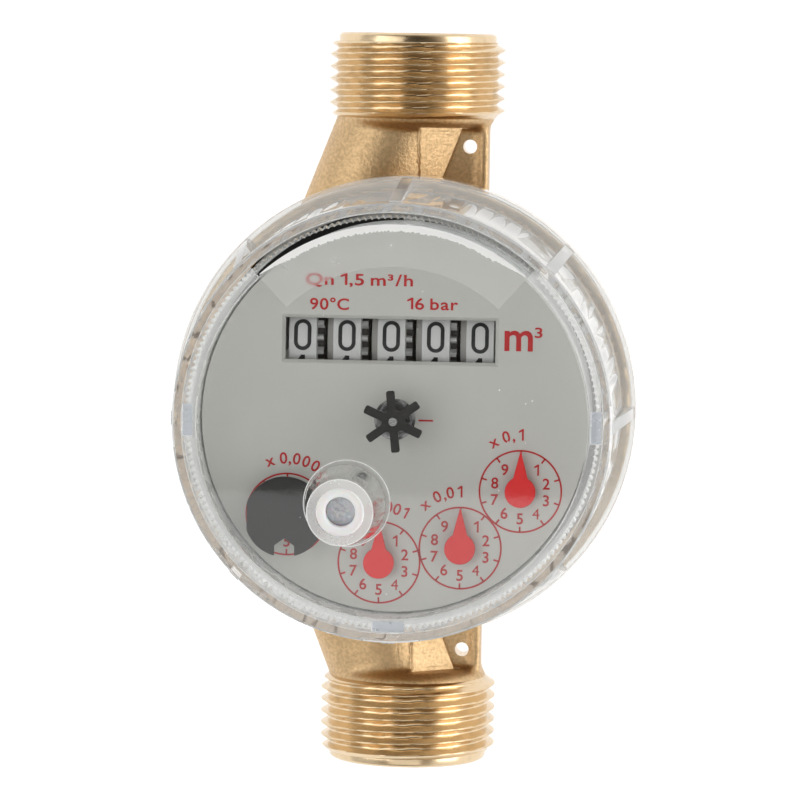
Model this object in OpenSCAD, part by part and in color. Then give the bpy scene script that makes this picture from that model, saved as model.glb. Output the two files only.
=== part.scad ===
// Single-jet water meter with a dry, magnetically driven register and G 3/4 B threads.
// The pipe runs along Y with the inlet at +Y, the dial faces +Z and the flat foot stands on z = 0.

/* [Brass body] */
// Length over the two end faces
body_length = 110; // [104:1:130]
// Height of the pipe axis above the foot
pipe_z = 15; // [14:0.5:16]
// Crest radius of the pipe thread
thread_r = 13.22; // [12.9:0.02:13.6]
// Length of the threaded part of each end
thread_length = 11.1; // [9:0.1:12]
// Radius of the plain ring beyond each thread
pilot_r = 11.85; // [11.2:0.05:12.4]
// Length of the plain ring beyond each thread
pilot_length = 1.3; // [0.8:0.1:2]
// Radius of the straight bore in each end
mouth_r = 7.5; // [6.8:0.1:8]
// Outer radius of the slanting cast neck
neck_r = 8.7; // [8.2:0.1:9]
// Radius of the flow channel in the neck
channel_r = 5.8; // [5:0.1:6.2]
// Distance from an end face to where the neck's axis crosses the pipe axis
neck_cross = 5.7; // [5:0.1:7]
// Distance of the jet from the middle of the body, along the pipe
jet_y = 8.85; // [7:0.1:10]
// Reach of the seal web from the pipe axis
web_x = 11; // [10.4:0.1:12]
// Thickness of the seal web
web_t = 5; // [4:0.25:6]
// Radius of the seal wire holes
seal_hole_r = 1.05; // [0.8:0.05:1.2]
// Distance of the seal wire holes from the pipe axis
seal_x = 8.23; // [7.8:0.05:8.4]
// Distance of the seal wire holes from the thread
seal_gap = 4.5; // [3.5:0.1:5.5]
// Radius of the flat foot
foot_r = 22; // [20:0.5:23]
// Thickness of the chamber floor
floor_t = 5; // [4.5:0.25:6]
// Wall of the measuring chamber
chamber_wall = 3.7; // [3:0.1:4.5]
// Radius of the seat that the closing plate and the register drop into
seat_r = 30.6; // [28:0.1:34]
// Wall of the rim around the seat
rim_wall = 2.8; // [2.4:0.1:3.2]
// Depth of the groove under the rim
groove_depth = 0.8; // [0.6:0.05:1]

/* [Measuring chamber] */
// Radius of the measuring chamber
chamber_r = 21.5; // [20.5:0.25:22.5]
// Height of the measuring chamber
chamber_h = 20; // [19:0.25:22]
// Number of impeller blades
blades = 8; // [6:1:10]
// Gap between the blade tips and the chamber wall
blade_gap = 2; // [1.5:0.1:3]
// Thickness of an impeller blade at its tip
blade_t = 1; // [0.8:0.1:1.6]
// Radius of the impeller hub
hub_r = 4; // [3.5:0.1:5]
// Radius of the steel pin that carries the impeller
pin_r = 1; // [0.8:0.05:1.3]
// Radius of both coupling magnets
magnet_r = 6; // [5:0.1:7]
// Height of both coupling magnets
magnet_h = 3; // [2.5:0.1:3.2]
// Length of the inlet strainer
strainer_length = 6; // [5:0.25:6.5]
// Wall of the inlet strainer
strainer_wall = 1.1; // [0.8:0.1:1.3]

/* [Closing plate] */
// Thickness of the plate that closes the chamber
plate_t = 3.5; // [3.2:0.1:4.5]
// Section radius of its sealing ring
oring_r = 0.76; // [0.6:0.02:0.85]
// Height of the threaded clamp ring
clamp_h = 2.7; // [2.4:0.1:3.5]
// Width of the clamp ring
clamp_w = 3.8; // [3.4:0.1:4.2]

/* [Register frame] */
// Floor thickness of the register base
base_t = 1.6; // [1.2:0.1:2]
// Thickness of the flange of the register base
flange_t = 1.4; // [1.2:0.1:2]
// Height of the spacers under the lower plate
spacer_h = 2.4; // [2.2:0.1:4]
// Thickness of the lower and the top plate
frame_t = 1.5; // [1.2:0.1:1.8]
// Distance of the frame pillars from the lens wall
pillar_inset = 3.2; // [2.8:0.1:3.4]
// Radius of the frame pillars
pillar_r = 1.5; // [1.2:0.1:1.6]
// Radius of the pillars' riveted ends
stud_r = 0.8; // [0.6:0.05:0.9]

/* [Gear train] */
// Tooth module of the fast and of the drum wheels
fast_tooth_module = 0.3; // [0.29:0.005:0.305]
// Tooth module of the pointer wheels
slow_tooth_module = 0.27; // [0.265:0.005:0.275]
// Width of every gear
gear_w = 1.4; // [1:0.1:1.5]
// Height from one gear level to the next
level_pitch = 1.8; // [1.7:0.05:2]
// Radius of the arbors
arbor_r = 0.6; // [0.5:0.02:0.7]
// Radius of the pivots
pivot_r = 0.4; // [0.3:0.02:0.45]
// Direction of the first reduction gear from the dial axis
first_gear_angle = -110; // [-114:1:-106]
// Mean radius of the worm
worm_radius = 1.4; // [1.3:0.02:1.5]
// Tooth module of the worm wheel
worm_tooth_module = 0.33; // [0.32:0.005:0.34]

/* [Dial] */
// Thickness of the dial plate
dial_t = 1; // [0.8:0.1:1.2]
// Gap between the pulse disc and the lens wall
disc_edge_gap = 1.55; // [1.3:0.05:1.8]
// Radius of a pointer's hub
pointer_hub_radius = 2.2; // [2:0.05:2.6]
// Length of a pointer from its arbor to its tip
pointer_length = 6; // [5:0.1:6.4]
// Thickness of the pointers, the pulse disc and the star
hand_t = 1; // [0.8:0.1:1.2]
// Radius of the pulse disc
pulse_disc_radius = 5.75; // [5:0.05:6]
// Radius of the star's arms
star_radius = 4.4; // [4:0.1:5]
// Width of the star's arms
star_arm_width = 1.2; // [1:0.05:1.4]
// Height of the star above the dial
star_lift = 3.5; // [2.5:0.1:4]
// Height of the pulse disc above the dial
disc_lift = 3.2; // [2.5:0.1:4]
// Radius of the dial bush
bush_radius = 2.95; // [2.6:0.05:3.2]
// Height of the number window
window_height = 6.03; // [5:0.05:6.5]

/* [Number drums] */
// Radius of the number faces
drum_radius = 8.3; // [8.1:0.05:8.4]
// Width of a number face
number_face_width = 3.95; // [3.7:0.05:4.1]
// Distance from one drum to the next
drum_spacing = 6.36; // [6.3:0.02:6.5]
// Distance of the drum axis from the dial axis
drum_offset = 11; // [10.8:0.05:11.4]
// Distance of the units drum from the dial axis
units_offset = 11.96; // [11.7:0.02:12.1]
// Radius of the drum shaft
drum_shaft_r = 0.8; // [0.7:0.05:1]
// Radius of the transfer pinion shaft
pinion_shaft_r = 0.7; // [0.6:0.05:0.8]

/* [Lens and snap ring] */
// Room between the inside of the lens and the seat
lens_margin = 2.6; // [2.4:0.1:2.8]
// Wall of the lens
lens_wall = 1; // [0.8:0.1:1.1]
// Thickness of the lens top
lens_top = 1.8; // [1.4:0.1:2.2]
// Height of the lens above the dial
lens_lift = 5.7; // [5.6:0.1:7]
// Thickness of the lens gasket
gasket_t = 0.6; // [0.4:0.1:1]
// Number of locking teeth around the lens
lens_teeth = 200; // [150:10:220]
// Depth of the locking teeth
lens_tooth_h = 0.6; // [0.4:0.05:0.7]
// Place of the filling port, right of the dial axis
port_offset_x = -6.2; // [-7:0.1:-5]
// Place of the filling port, along the pipe
port_offset_y = -11.5; // [-12.5:0.1:-10]
// Radius of the filling port at its root
port_root_radius = 6.2; // [5.6:0.1:6.4]
// Radius of the filling port at its mouth
port_tip_radius = 4.7; // [4.4:0.05:5]
// Height of the filling port above the lens
port_h = 12.5; // [8:0.5:14]
// Radius of the port plug
plug_radius = 3.4; // [3:0.05:3.6]
// Thickness of the snap ring's skirt
skirt_t = 0.6; // [0.5:0.05:0.8]
// Wall of the snap ring
ring_wall = 1.25; // [1:0.05:1.4]
// Thickness of the snap ring's lip
lip_t = 0.9; // [0.7:0.05:1.2]
// Width of the snap ring's ribs
rib_w = 1.75; // [1.2:0.05:2.2]
// Number of ribs on the snap ring
ribs = 8; // [6:2:10]

/* [Hidden] */
$fn = 96;

// Clearances: eps oversizes a cut, fit_gap seats a fixed piece, run_gap lets a piece turn.
eps = 0.1;
fit_gap = 0.02;
run_gap = 0.05;
free_gap = 0.3;

// Lens that fits the seat. The register's sizes are given for a lens of drawn_lens_r and follow the lens.
lens_r = seat_r - lens_margin;
drawn_lens_r = 28;
k = lens_r / drawn_lens_r;
fast_module = k * fast_tooth_module;
slow_module = k * slow_tooth_module;
worm_r = k * worm_radius;
worm_module = k * worm_tooth_module;
pointer_hub_r = k * pointer_hub_radius;
pointer_l = k * pointer_length;
disc_r = k * pulse_disc_radius;
star_r = k * star_radius;
star_arm_w = k * star_arm_width;
bush_r = k * bush_radius;
window_h = k * window_height;
drum_r = k * drum_radius;
face_w = k * number_face_width;
drum_pitch = k * drum_spacing;
drum_y = k * drum_offset;
units_x = k * units_offset;
port_x = k * port_offset_x;
port_y = k * port_offset_y;
port_root_r = k * port_root_radius;
port_tip_r = k * port_tip_radius;
plug_r = k * plug_radius;

// Heights of the body
plate_z = floor_t + chamber_h;
clamp_z = plate_z + plate_t;
clamp_top = clamp_z + clamp_h;
rim_lip = 3;
rim_top = clamp_top + rim_lip;
rim_h = 4;
rim_chamfer = 0.6;
skirt_rise = 5;
skirt_drop = 8;
foot_chamfer = 3;

// Plan of the body
end_y = body_length / 2;
thread_y = end_y - pilot_length - thread_length;
cup_r = chamber_r + chamber_wall;
rim_r = seat_r + rim_wall;
groove_r = rim_r - groove_depth;
edge = 0.7;
collar_r = thread_r - 1.3;
collar_l = 1.3;
blend_r = 10.7;
blend_l = 0.9;
cross_y = end_y - neck_cross;
jet_x = chamber_r - channel_r;
neck_angle = atan(jet_x / (cross_y - jet_y));
neck_l = norm([jet_x, cross_y - jet_y]);
flank_top = 4.85;
flank_foot = 9.5;
flank_sink = 0.4;
web_edge_w = 1.2;
web_edge_h = 0.8;
ridge_x = 0.8;
ridge_w = 0.7;
ridge_h = 0.35;
strainer_r = mouth_r + strainer_wall;
strainer_recess = 0.8;
strainer_slots = 5;
strainer_grid_t = 1;
strainer_edge = 0.4;

// Impeller and coupling
hub_lift = 1;
blade_lift = 2.5;
blade_roof_gap = 4;
hub_z = floor_t + hub_lift;
blade_z = floor_t + blade_lift;
blade_h = chamber_h - blade_lift - blade_roof_gap;
blade_disc_r = 2.2 * hub_r;
pin_seat = 2;
pin_roof = 1.2;
magnet_gap = 1;
impeller_top = plate_z - magnet_h - magnet_gap;
spigot_r = 2;
plate_gap = 0.2;
plate_r = seat_r - plate_gap;
plate_recess_gap = 1.5;
plate_recess_r = magnet_r + plate_recess_gap;
plate_recess_h = 1.2;
oring_groove_h = 2 * (oring_r + run_gap);

// Register heights
base_gap = 0.5;
base_z = clamp_z + base_gap;
base_floor = base_z + base_t;
flange_top = clamp_top + flange_t;
clamp_in_r = plate_r - clamp_w;
base_r = clamp_in_r - free_gap;
base_recess_gap = 3;
base_recess_r = magnet_r + base_recess_gap;
magnet_lift = 0.6;
follower_z = base_floor + magnet_lift;
lower_z = flange_top + spacer_h;
lower_top = lower_z + frame_t;
drum_floor_gap = 0.3;
drum_roof_gap = 0.2;
drum_z = lower_top + drum_floor_gap + drum_r;
dial_z = drum_z + drum_r + drum_roof_gap;
upper_z = dial_z - frame_t;
dial_top = dial_z + dial_t;
level_lift = 0.6;
hand_lift = 0.6;
cap_t = 0.4;
hand_z = dial_top + hand_lift;
star_z = dial_top + star_lift;
disc_z = dial_top + disc_lift;
lens_z = flange_top + gasket_t;
lens_under = dial_top + lens_lift;
lens_face = lens_under + lens_top;
frame_gap = 0.7;
frame_r = lens_r - frame_gap;
dial_r = lens_r - free_gap;
pillar_place_r = lens_r - k * pillar_inset;
pointer_place_r = lens_r - disc_r - k * disc_edge_gap;
pillar_angles = [12, 90, 168, 281];

// Tooth counts
centre_teeth = 10;
wheel_teeth = 40;
second_pinion_teeth = 20;
decade_pinion_teeth = 8;
decade_wheel_teeth = 48;
decade_drive_teeth = 24;
drum_idler_teeth = 45;
worm_teeth = 10;
worm_wheel_teeth = 20;
ring_teeth = 20;
transfer_teeth = 8;

// Places of the arbors
pointer_angles = [-28.8, -62.2, -95.4, -137.6];
worm_wheel_w = 1.4;
worm_gap = 0.6;
worm_e = 0.2 * worm_r;
worm_play = 0.08;
worm_pitch = PI * worm_module;
worm_turns = 4;
worm_wheel_r = worm_module * worm_wheel_teeth / 2;
worm_x = units_x + face_w / 2 + worm_gap + fast_module * (worm_teeth / 2 + 1);
worm_at = [worm_x, drum_y - worm_wheel_r - worm_r - worm_play];
pointer_1_at = polar(pointer_place_r, pointer_angles[0]);
pointer_2_at = polar(pointer_place_r, pointer_angles[1]);
pointer_3_at = polar(pointer_place_r, pointer_angles[2]);
pointer_4_at = polar(pointer_place_r, pointer_angles[3]);
centre_at = [0, 0];
gear_1_at = polar(mesh_d(centre_teeth, wheel_teeth, fast_module), first_gear_angle);
gear_2_at = meet(gear_1_at, pointer_4_at, mesh_d(centre_teeth, wheel_teeth, fast_module),
                 mesh_d(second_pinion_teeth, wheel_teeth, fast_module), -1);
decade_in = mesh_d(decade_pinion_teeth, decade_wheel_teeth, slow_module);
decade_out = mesh_d(decade_drive_teeth, wheel_teeth, slow_module);
idler_3_at = meet(pointer_4_at, pointer_3_at, decade_in, decade_out, 1);
idler_2_at = meet(pointer_3_at, pointer_2_at, decade_in, decade_out, 1);
idler_1_at = meet(pointer_2_at, pointer_1_at, decade_in, decade_out, 1);
drum_idler_at = meet(pointer_1_at, worm_at,
                     mesh_d(second_pinion_teeth, drum_idler_teeth, fast_module),
                     mesh_d(drum_idler_teeth, worm_teeth, fast_module), 1);
inner_arbors = [gear_1_at, gear_2_at, idler_3_at, idler_2_at, idler_1_at, drum_idler_at, worm_at];
pointer_arbors = [pointer_1_at, pointer_2_at, pointer_3_at, pointer_4_at];

// Phases that put every pair of gears in mesh at rest
gear_1_phase = mesh_phase(centre_at, gear_1_at, centre_teeth, wheel_teeth, 0);
gear_2_phase = mesh_phase(gear_1_at, gear_2_at, centre_teeth, wheel_teeth, 0);
pointer_4_phase = mesh_phase(gear_2_at, pointer_4_at, second_pinion_teeth, wheel_teeth, 0);
idler_3_phase = mesh_phase(pointer_4_at, idler_3_at, decade_pinion_teeth, decade_wheel_teeth, 0);
pointer_3_phase = mesh_phase(idler_3_at, pointer_3_at, decade_drive_teeth, wheel_teeth, 0);
idler_2_phase = mesh_phase(pointer_3_at, idler_2_at, decade_pinion_teeth, decade_wheel_teeth, 0);
pointer_2_phase = mesh_phase(idler_2_at, pointer_2_at, decade_drive_teeth, wheel_teeth, 0);
idler_1_phase = mesh_phase(pointer_2_at, idler_1_at, decade_pinion_teeth, decade_wheel_teeth, 0);
pointer_1_phase = mesh_phase(idler_1_at, pointer_1_at, decade_drive_teeth, wheel_teeth, 0);
drum_idler_phase = mesh_phase(pointer_1_at, drum_idler_at, second_pinion_teeth, drum_idler_teeth, 0);
worm_phase = mesh_phase(drum_idler_at, worm_at, drum_idler_teeth, worm_teeth, drum_idler_phase);

// Number drums: each has a toothed ring on its right and a lock disc on its left.
ring_w = 0.95;
lock_w = 0.9;
drum_gap = drum_pitch - face_w;
drums = 5;
drum_hub_radius = 2;
drum_hub_r = k * drum_hub_radius;
drum_web = 1.2;
ring_in_radius = 5.2;
ring_in_r = k * ring_in_radius;
transfer_tooth_module = 0.66;
transfer_module = k * transfer_tooth_module;
transfer_d = mesh_d(ring_teeth, transfer_teeth, transfer_module);
transfer_angle = 30;
transfer_y = drum_y + transfer_d * cos(transfer_angle);
transfer_z = drum_z - transfer_d * sin(transfer_angle);
transfer_gap = 0.2;
transfer_tip_r = transfer_module * (transfer_teeth / 2 + 0.9);
lock_r = norm([transfer_d - transfer_tip_r * cos(45), transfer_tip_r * sin(45)]) - free_gap;
lock_tooth_angle = 45;
last_drum_x = units_x - (drums - 1) * drum_pitch;
cheek_t = 1;
cheek_gap = 0.4;
cheek_edge = 1.2;
cheek_out_x = worm_x + worm_wheel_w / 2 + cheek_gap;
cheek_left_x = last_drum_x - face_w / 2 - lock_w;
cheek_y0 = drum_y - drum_shaft_r - cheek_edge;
cheek_y1 = transfer_y + pinion_shaft_r + cheek_edge / 2;
cheek_h = drum_z + drum_shaft_r + cheek_edge - lower_top;
window_gap_left = 0.43;
window_gap_right = 0.27;
window_rise = 0.32;
window_x0 = last_drum_x - face_w / 2 - window_gap_left;
window_x1 = units_x + face_w / 2 + window_gap_right;
window_y = drum_y + window_rise;

// Lens and snap ring
tooth_rise = 0.5;
tooth_tip_r = lens_r + lens_wall + tooth_rise;
tooth_band_h = 4;
pad_angle0 = 48;
pad_angle1 = 133;
pad_in_radius = 22.2;
pad_in_r = k * pad_in_radius;
pad_h = 0.5;
plug_h = 10;
plug_sink = 0.5;
plug_recess_radius = 2.1;
plug_recess_r = k * plug_recess_radius;
plug_recess_h = 3;
seal_h = 1.4;
skirt_gap = 0.1;
skirt_r = rim_r + skirt_gap;
ring_r = skirt_r + skirt_t;
ring_flange_t = 1.3;
ring_foot_step = 0.2;
ring_tooth_gap = 0.45;
ring_foot_in = seat_r + ring_foot_step;
ring_top_in = tooth_tip_r + ring_tooth_gap;
lip_z = lens_face + fit_gap;
ring_top = lip_z + lip_t;
lip_reach = 0.2;
lip_r = lens_r - lip_reach;
lip_stub = 0.15;
rib_step = 0.15;
hook_drop = 0.7;
hook_gap = 0.2;
hook_angle = 18;
tab_w = 4.6;
tab_edge = 0.4;
tab_recess = 1.5;
tab_angles = [0, 180, 270];

function polar(r, a) = [r * cos(a), r * sin(a)];
function mesh_d(z1, z2, m) = m * (z1 + z2) / 2;

// Centre of a gear that meshes with two others, from its distances to both
function meet(p, q, dp, dq, side) =
  let (d = norm(q - p),
       a = (dp * dp - dq * dq + d * d) / (2 * d),
       h = sqrt(max(0, dp * dp - a * a)),
       u = (q - p) / d)
  p + a * u + side * h * [-u[1], u[0]];

// Tooth angle of the second gear of a pair, from the tooth angle of the first
function mesh_phase(p, q, z1, z2, phase) =
  let (t = atan2(q[1] - p[1], q[0] - p[0]))
  t + 180 + 180 / z2 - (phase - t) * z1 / z2;

function level(i) = lower_top + level_lift + i * level_pitch;

// Outline of a spur gear with slim, tapered teeth and a tooth centred on its phase
function gear_points(z, m, phase, tip = 0.9, root = 1.2) =
  [for (i = [0 : z - 1])
   for (p = [[-0.27, -root], [-0.1, tip], [0.1, tip], [0.27, -root]])
     polar(m * (z / 2 + p[1]), phase + (i + p[0]) * 360 / z)];

module gear(z, m, phase, w = gear_w) {
  linear_extrude(w) polygon(gear_points(z, m, phase));
}

// Arbor of one moulded gear, with a pivot in the lower plate and one in the top plate
module arbor(at) {
  shoulder = 0.2;
  translate([at[0], at[1], lower_z + eps]) cylinder(r = pivot_r, h = dial_z - lower_z - 2 * eps);
  translate([at[0], at[1], lower_top + shoulder])
    cylinder(r = arbor_r, h = upper_z - lower_top - 2 * shoulder);
}

// Arbor that goes on through the dial and carries a pointer
module pointer_arbor(at, hub_z = hand_z) {
  shoulder = 0.2;
  translate([at[0], at[1], lower_z + eps]) cylinder(r = pivot_r, h = frame_t + shoulder);
  translate([at[0], at[1], lower_top + shoulder])
    cylinder(r = arbor_r, h = hub_z + hand_t - cap_t - lower_top - shoulder);
}

module on_level(at, i) {
  translate([at[0], at[1], level(i)]) children();
}

module pipe_end(inlet = false) {
  thread_end = thread_length + pilot_length;
  translate([0, thread_y, pipe_z]) rotate([-90, 0, 0]) rotate_extrude()
    polygon([[0, 0], [thread_r - edge, 0], [thread_r, edge], [thread_r, thread_length - edge],
             [thread_r - edge, thread_length], [pilot_r, thread_length], [pilot_r, thread_end - edge],
             [pilot_r - edge, thread_end], [0, thread_end]]);
  translate([0, thread_y + eps, pipe_z]) rotate([90, 0, 0]) rotate_extrude()
    polygon([[0, 0], [collar_r, 0], [collar_r, collar_l], [blend_r, collar_l + blend_l],
             [0, collar_l + blend_l]]);
  neck(neck_r);
  neck_flank();
  intersection() {
    neck(neck_r + ridge_h);
    translate([ridge_x - ridge_w / 2, 0, 0]) cube([ridge_w, thread_y, plate_z]);
  }
  translate([0, cup_r / 2, pipe_z - web_t / 2]) cube([web_x, thread_y - cup_r / 2 + eps, web_t]);
  translate([web_x - web_edge_w, cup_r / 2, pipe_z - web_t / 2 - web_edge_h])
    cube([web_edge_w, thread_y - cup_r / 2 + eps, web_t + 2 * web_edge_h]);
}

module neck(r) {
  translate([0, cross_y, pipe_z]) rotate([90, 0, -neck_angle]) cylinder(r = r, h = neck_l);
}

// Flat flank that leads from the top of the neck down to the seal web
module neck_flank() {
  top = sqrt(pow(neck_r - flank_sink, 2) - pow(flank_top, 2));
  translate([0, cross_y, pipe_z]) rotate([90, 0, -neck_angle]) translate([0, 0, flank_sink])
    linear_extrude(neck_l - 2 * flank_sink)
      polygon([[0, 0], [flank_top, top], [flank_foot, web_t / 2 - eps], [flank_foot, eps - web_t / 2],
               [flank_top, -top]]);
}

module pipe_bores() {
  seal_y = thread_y - seal_gap;
  translate([0, end_y + eps, pipe_z]) rotate([90, 0, 0]) cylinder(r = mouth_r, h = neck_cross + 2);
  neck(channel_r);
  translate([seal_x, seal_y, pipe_z - neck_r]) cylinder(r = seal_hole_r, h = 2 * neck_r);
}

module body() {
  skirt_z = clamp_top - skirt_drop - skirt_rise;
  groove_z = rim_top - rim_h;
  color([0.78, 0.6, 0.3]) difference() {
    union() {
      rotate_extrude() polygon([[0, 0], [foot_r, 0], [cup_r, foot_chamfer], [cup_r, skirt_z],
        [groove_r, skirt_z + skirt_rise], [groove_r, groove_z - rim_chamfer], [rim_r, groove_z],
        [rim_r, rim_top], [0, rim_top]]);
      pipe_end();
      mirror([0, 1, 0]) pipe_end();
    }
    pipe_bores();
    mirror([0, 1, 0]) pipe_bores();
    translate([0, end_y + eps, pipe_z]) rotate([90, 0, 0])
      cylinder(r = strainer_r + fit_gap, h = strainer_recess + strainer_length + eps);
    translate([0, 0, floor_t]) cylinder(r = chamber_r, h = rim_top);
    translate([0, 0, plate_z]) cylinder(r = seat_r, h = rim_top);
    translate([0, 0, floor_t - pin_seat]) cylinder(r = pin_r + fit_gap, h = pin_seat + eps);
  }
}

module inlet_strainer() {
  slot_pitch = 2 * mouth_r / (strainer_slots + 0.5);
  color("white") translate([0, end_y - strainer_recess, pipe_z]) rotate([90, 0, 0]) difference() {
    cylinder(r = strainer_r, h = strainer_length);
    translate([0, 0, -eps]) cylinder(r = mouth_r, h = strainer_length - strainer_grid_t + eps);
    for (i = [0 : strainer_slots - 1]) {
      x = (i - (strainer_slots - 1) / 2) * slot_pitch;
      l = 2 * sqrt(pow(mouth_r - strainer_edge, 2) - pow(abs(x) + slot_pitch / 3, 2));
      translate([x - slot_pitch / 3, -l / 2, 0]) cube([slot_pitch / 1.5, l, strainer_length + eps]);
    }
  }
}

module impeller_pin() {
  h = impeller_top - pin_roof - run_gap - floor_t + pin_seat;
  color("silver") translate([0, 0, floor_t - pin_seat]) cylinder(r = pin_r, h = h);
}

module impeller() {
  blade_r = chamber_r - blade_gap;
  color("gainsboro") difference() {
    union() {
      translate([0, 0, hub_z]) cylinder(r = hub_r, h = impeller_top - hub_z);
      translate([0, 0, impeller_top]) cylinder(r = spigot_r, h = magnet_h);
      translate([0, 0, blade_z]) linear_extrude(blade_h)
        for (i = [0 : blades - 1])
          rotate(i * 360 / blades)
            polygon([[0, -blade_t], [blade_r, -blade_t / 2], [blade_r, blade_t / 2], [0, blade_t]]);
      translate([0, 0, blade_z]) cylinder(r = blade_disc_r, h = blade_t);
    }
    translate([0, 0, hub_z - eps])
      cylinder(r = pin_r + run_gap, h = impeller_top - pin_roof - hub_z + eps);
  }
}

module ring_magnet(z, bore_r) {
  translate([0, 0, z]) difference() {
    cylinder(r = magnet_r, h = magnet_h);
    translate([0, 0, -eps]) cylinder(r = bore_r, h = magnet_h + 2 * eps);
  }
}

module impeller_magnet() {
  color("dimgray") ring_magnet(impeller_top, spigot_r + fit_gap);
}

module pressure_plate() {
  groove_r0 = seat_r - 2 * oring_r - run_gap;
  groove_z = plate_z + (plate_t - oring_groove_h) / 2;
  color("darkgoldenrod") rotate_extrude()
    polygon([[0, plate_z + plate_recess_h], [plate_recess_r, plate_z + plate_recess_h],
             [plate_recess_r, plate_z], [plate_r, plate_z], [plate_r, groove_z], [groove_r0, groove_z],
             [groove_r0, groove_z + oring_groove_h], [plate_r, groove_z + oring_groove_h],
             [plate_r, clamp_z], [0, clamp_z]]);
}

module plate_oring() {
  color("black") translate([0, 0, plate_z + plate_t / 2]) rotate_extrude()
    translate([seat_r - oring_r - run_gap / 2, 0]) circle(r = oring_r, $fn = 32);
}

module clamp_ring() {
  slot_w = 4;
  slot_l = 1.2;
  color("darkgoldenrod") translate([0, 0, clamp_z]) difference() {
    cylinder(r = plate_r, h = clamp_h);
    translate([0, 0, -eps]) cylinder(r = clamp_in_r, h = clamp_h + 2 * eps);
    for (a = [0 : 90 : 270])
      rotate(a) translate([clamp_in_r - slot_l, -slot_w / 2, clamp_h / 2])
        cube([2 * slot_l, slot_w, clamp_h]);
  }
}

module register_base() {
  color("dimgray") difference() {
    rotate_extrude() polygon([[0, base_z], [base_r, base_z], [base_r, clamp_top], [plate_r, clamp_top],
      [plate_r, flange_top], [base_recess_r, flange_top], [base_recess_r, base_floor], [0, base_floor]]);
    translate([0, 0, base_floor - base_t / 2]) cylinder(r = pivot_r + run_gap, h = base_t);
    at_pillars(flange_top - flange_t, stud_r + fit_gap, flange_t + eps);
  }
}

module at_pillars(z, r, h) {
  for (a = pillar_angles)
    rotate(a) translate([pillar_place_r, 0, z]) cylinder(r = r, h = h);
}

module base_spacers() {
  color("goldenrod") difference() {
    at_pillars(flange_top, pillar_r, spacer_h);
    at_pillars(flange_top - eps, stud_r + fit_gap, spacer_h + 2 * eps);
  }
}

module frame_pillars() {
  stud_z = flange_top - flange_t + eps;
  color("goldenrod") {
    at_pillars(stud_z, stud_r, dial_z - eps - stud_z);
    at_pillars(lower_top, pillar_r, upper_z - lower_top);
  }
}

module arbor_holes(places, z, r) {
  for (p = places)
    translate([p[0], p[1], z - eps]) cylinder(r = r, h = frame_t + 2 * eps);
}

module lower_plate() {
  color("gainsboro") difference() {
    translate([0, 0, lower_z]) cylinder(r = frame_r, h = frame_t);
    arbor_holes(concat(inner_arbors, pointer_arbors), lower_z, pivot_r + run_gap);
    arbor_holes([centre_at], lower_z, arbor_r + run_gap);
    at_pillars(lower_z - eps, stud_r + fit_gap, frame_t + 2 * eps);
  }
}

module top_plate() {
  chord = sqrt(pow(drum_r, 2) - pow(upper_z - drum_z, 2)) + free_gap;
  x0 = last_drum_x - face_w / 2 - lock_w - free_gap;
  color("gainsboro") difference() {
    translate([0, 0, upper_z]) cylinder(r = frame_r, h = frame_t);
    arbor_holes(inner_arbors, upper_z, pivot_r + run_gap);
    arbor_holes(concat([centre_at], pointer_arbors), upper_z, arbor_r + run_gap);
    at_pillars(upper_z - eps, stud_r + fit_gap, frame_t + 2 * eps);
    translate([x0, drum_y - chord, upper_z - eps])
      cube([units_x + face_w / 2 + free_gap - x0, 2 * chord, frame_t + 2 * eps]);
  }
}

module dial_plate() {
  color("silver") translate([0, 0, dial_z]) difference() {
    cylinder(r = dial_r, h = dial_t);
    translate([0, 0, -eps]) cylinder(r = bush_r + fit_gap, h = dial_t + 2 * eps);
    for (p = pointer_arbors)
      translate([p[0], p[1], -eps]) cylinder(r = 2 * arbor_r, h = dial_t + 2 * eps);
    translate([window_x0, window_y - window_h / 2, -eps])
      cube([window_x1 - window_x0, window_h, dial_t + 2 * eps]);
  }
}

module star_bush() {
  rim = 0.4;
  bore_r = arbor_r + run_gap;
  color("lightgray") translate([0, 0, dial_z]) rotate_extrude()
    polygon([[bore_r, 0], [bush_r, 0], [bush_r, dial_t + rim], [bush_r - rim, dial_t + rim],
             [bush_r - 2 * rim, dial_t], [bush_r / 2, dial_t], [bush_r / 2, dial_t + rim / 2],
             [bore_r, dial_t + rim / 2]]);
}

module centre_arbor() {
  foot = base_floor + eps;
  color("silver") {
    translate([0, 0, base_floor - base_t / 2 + eps]) cylinder(r = pivot_r, h = base_t);
    translate([0, 0, foot]) cylinder(r = arbor_r, h = star_z + hand_t - foot);
    on_level(centre_at, 0) gear(centre_teeth, fast_module, 0);
  }
}

module follower_magnet() {
  color("dimgray") ring_magnet(follower_z, arbor_r + fit_gap);
}

module star_wheel() {
  lean = 6;
  arms = 6;
  color("black") translate([0, 0, star_z]) difference() {
    linear_extrude(hand_t) {
      circle(r = star_arm_w * 1.35);
      for (i = [0 : arms - 1])
        rotate(90 + lean + i * 360 / arms) {
          translate([0, -star_arm_w / 2]) square([star_r - star_arm_w / 4, star_arm_w]);
          translate([star_r - star_arm_w / 2, -star_arm_w / 4]) square([star_arm_w / 2, star_arm_w / 2]);
          for (s = [-1, 1])
            translate([star_r - star_arm_w / 4, s * star_arm_w / 4]) circle(r = star_arm_w / 4, $fn = 24);
        }
    }
    translate([0, 0, -eps]) cylinder(r = arbor_r + fit_gap, h = hand_t + 2 * eps);
  }
}

module reduction_gear_1() {
  color("white") {
    arbor(gear_1_at);
    on_level(gear_1_at, 0) gear(wheel_teeth, fast_module, gear_1_phase);
    on_level(gear_1_at, 1) gear(centre_teeth, fast_module, 0);
  }
}

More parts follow.
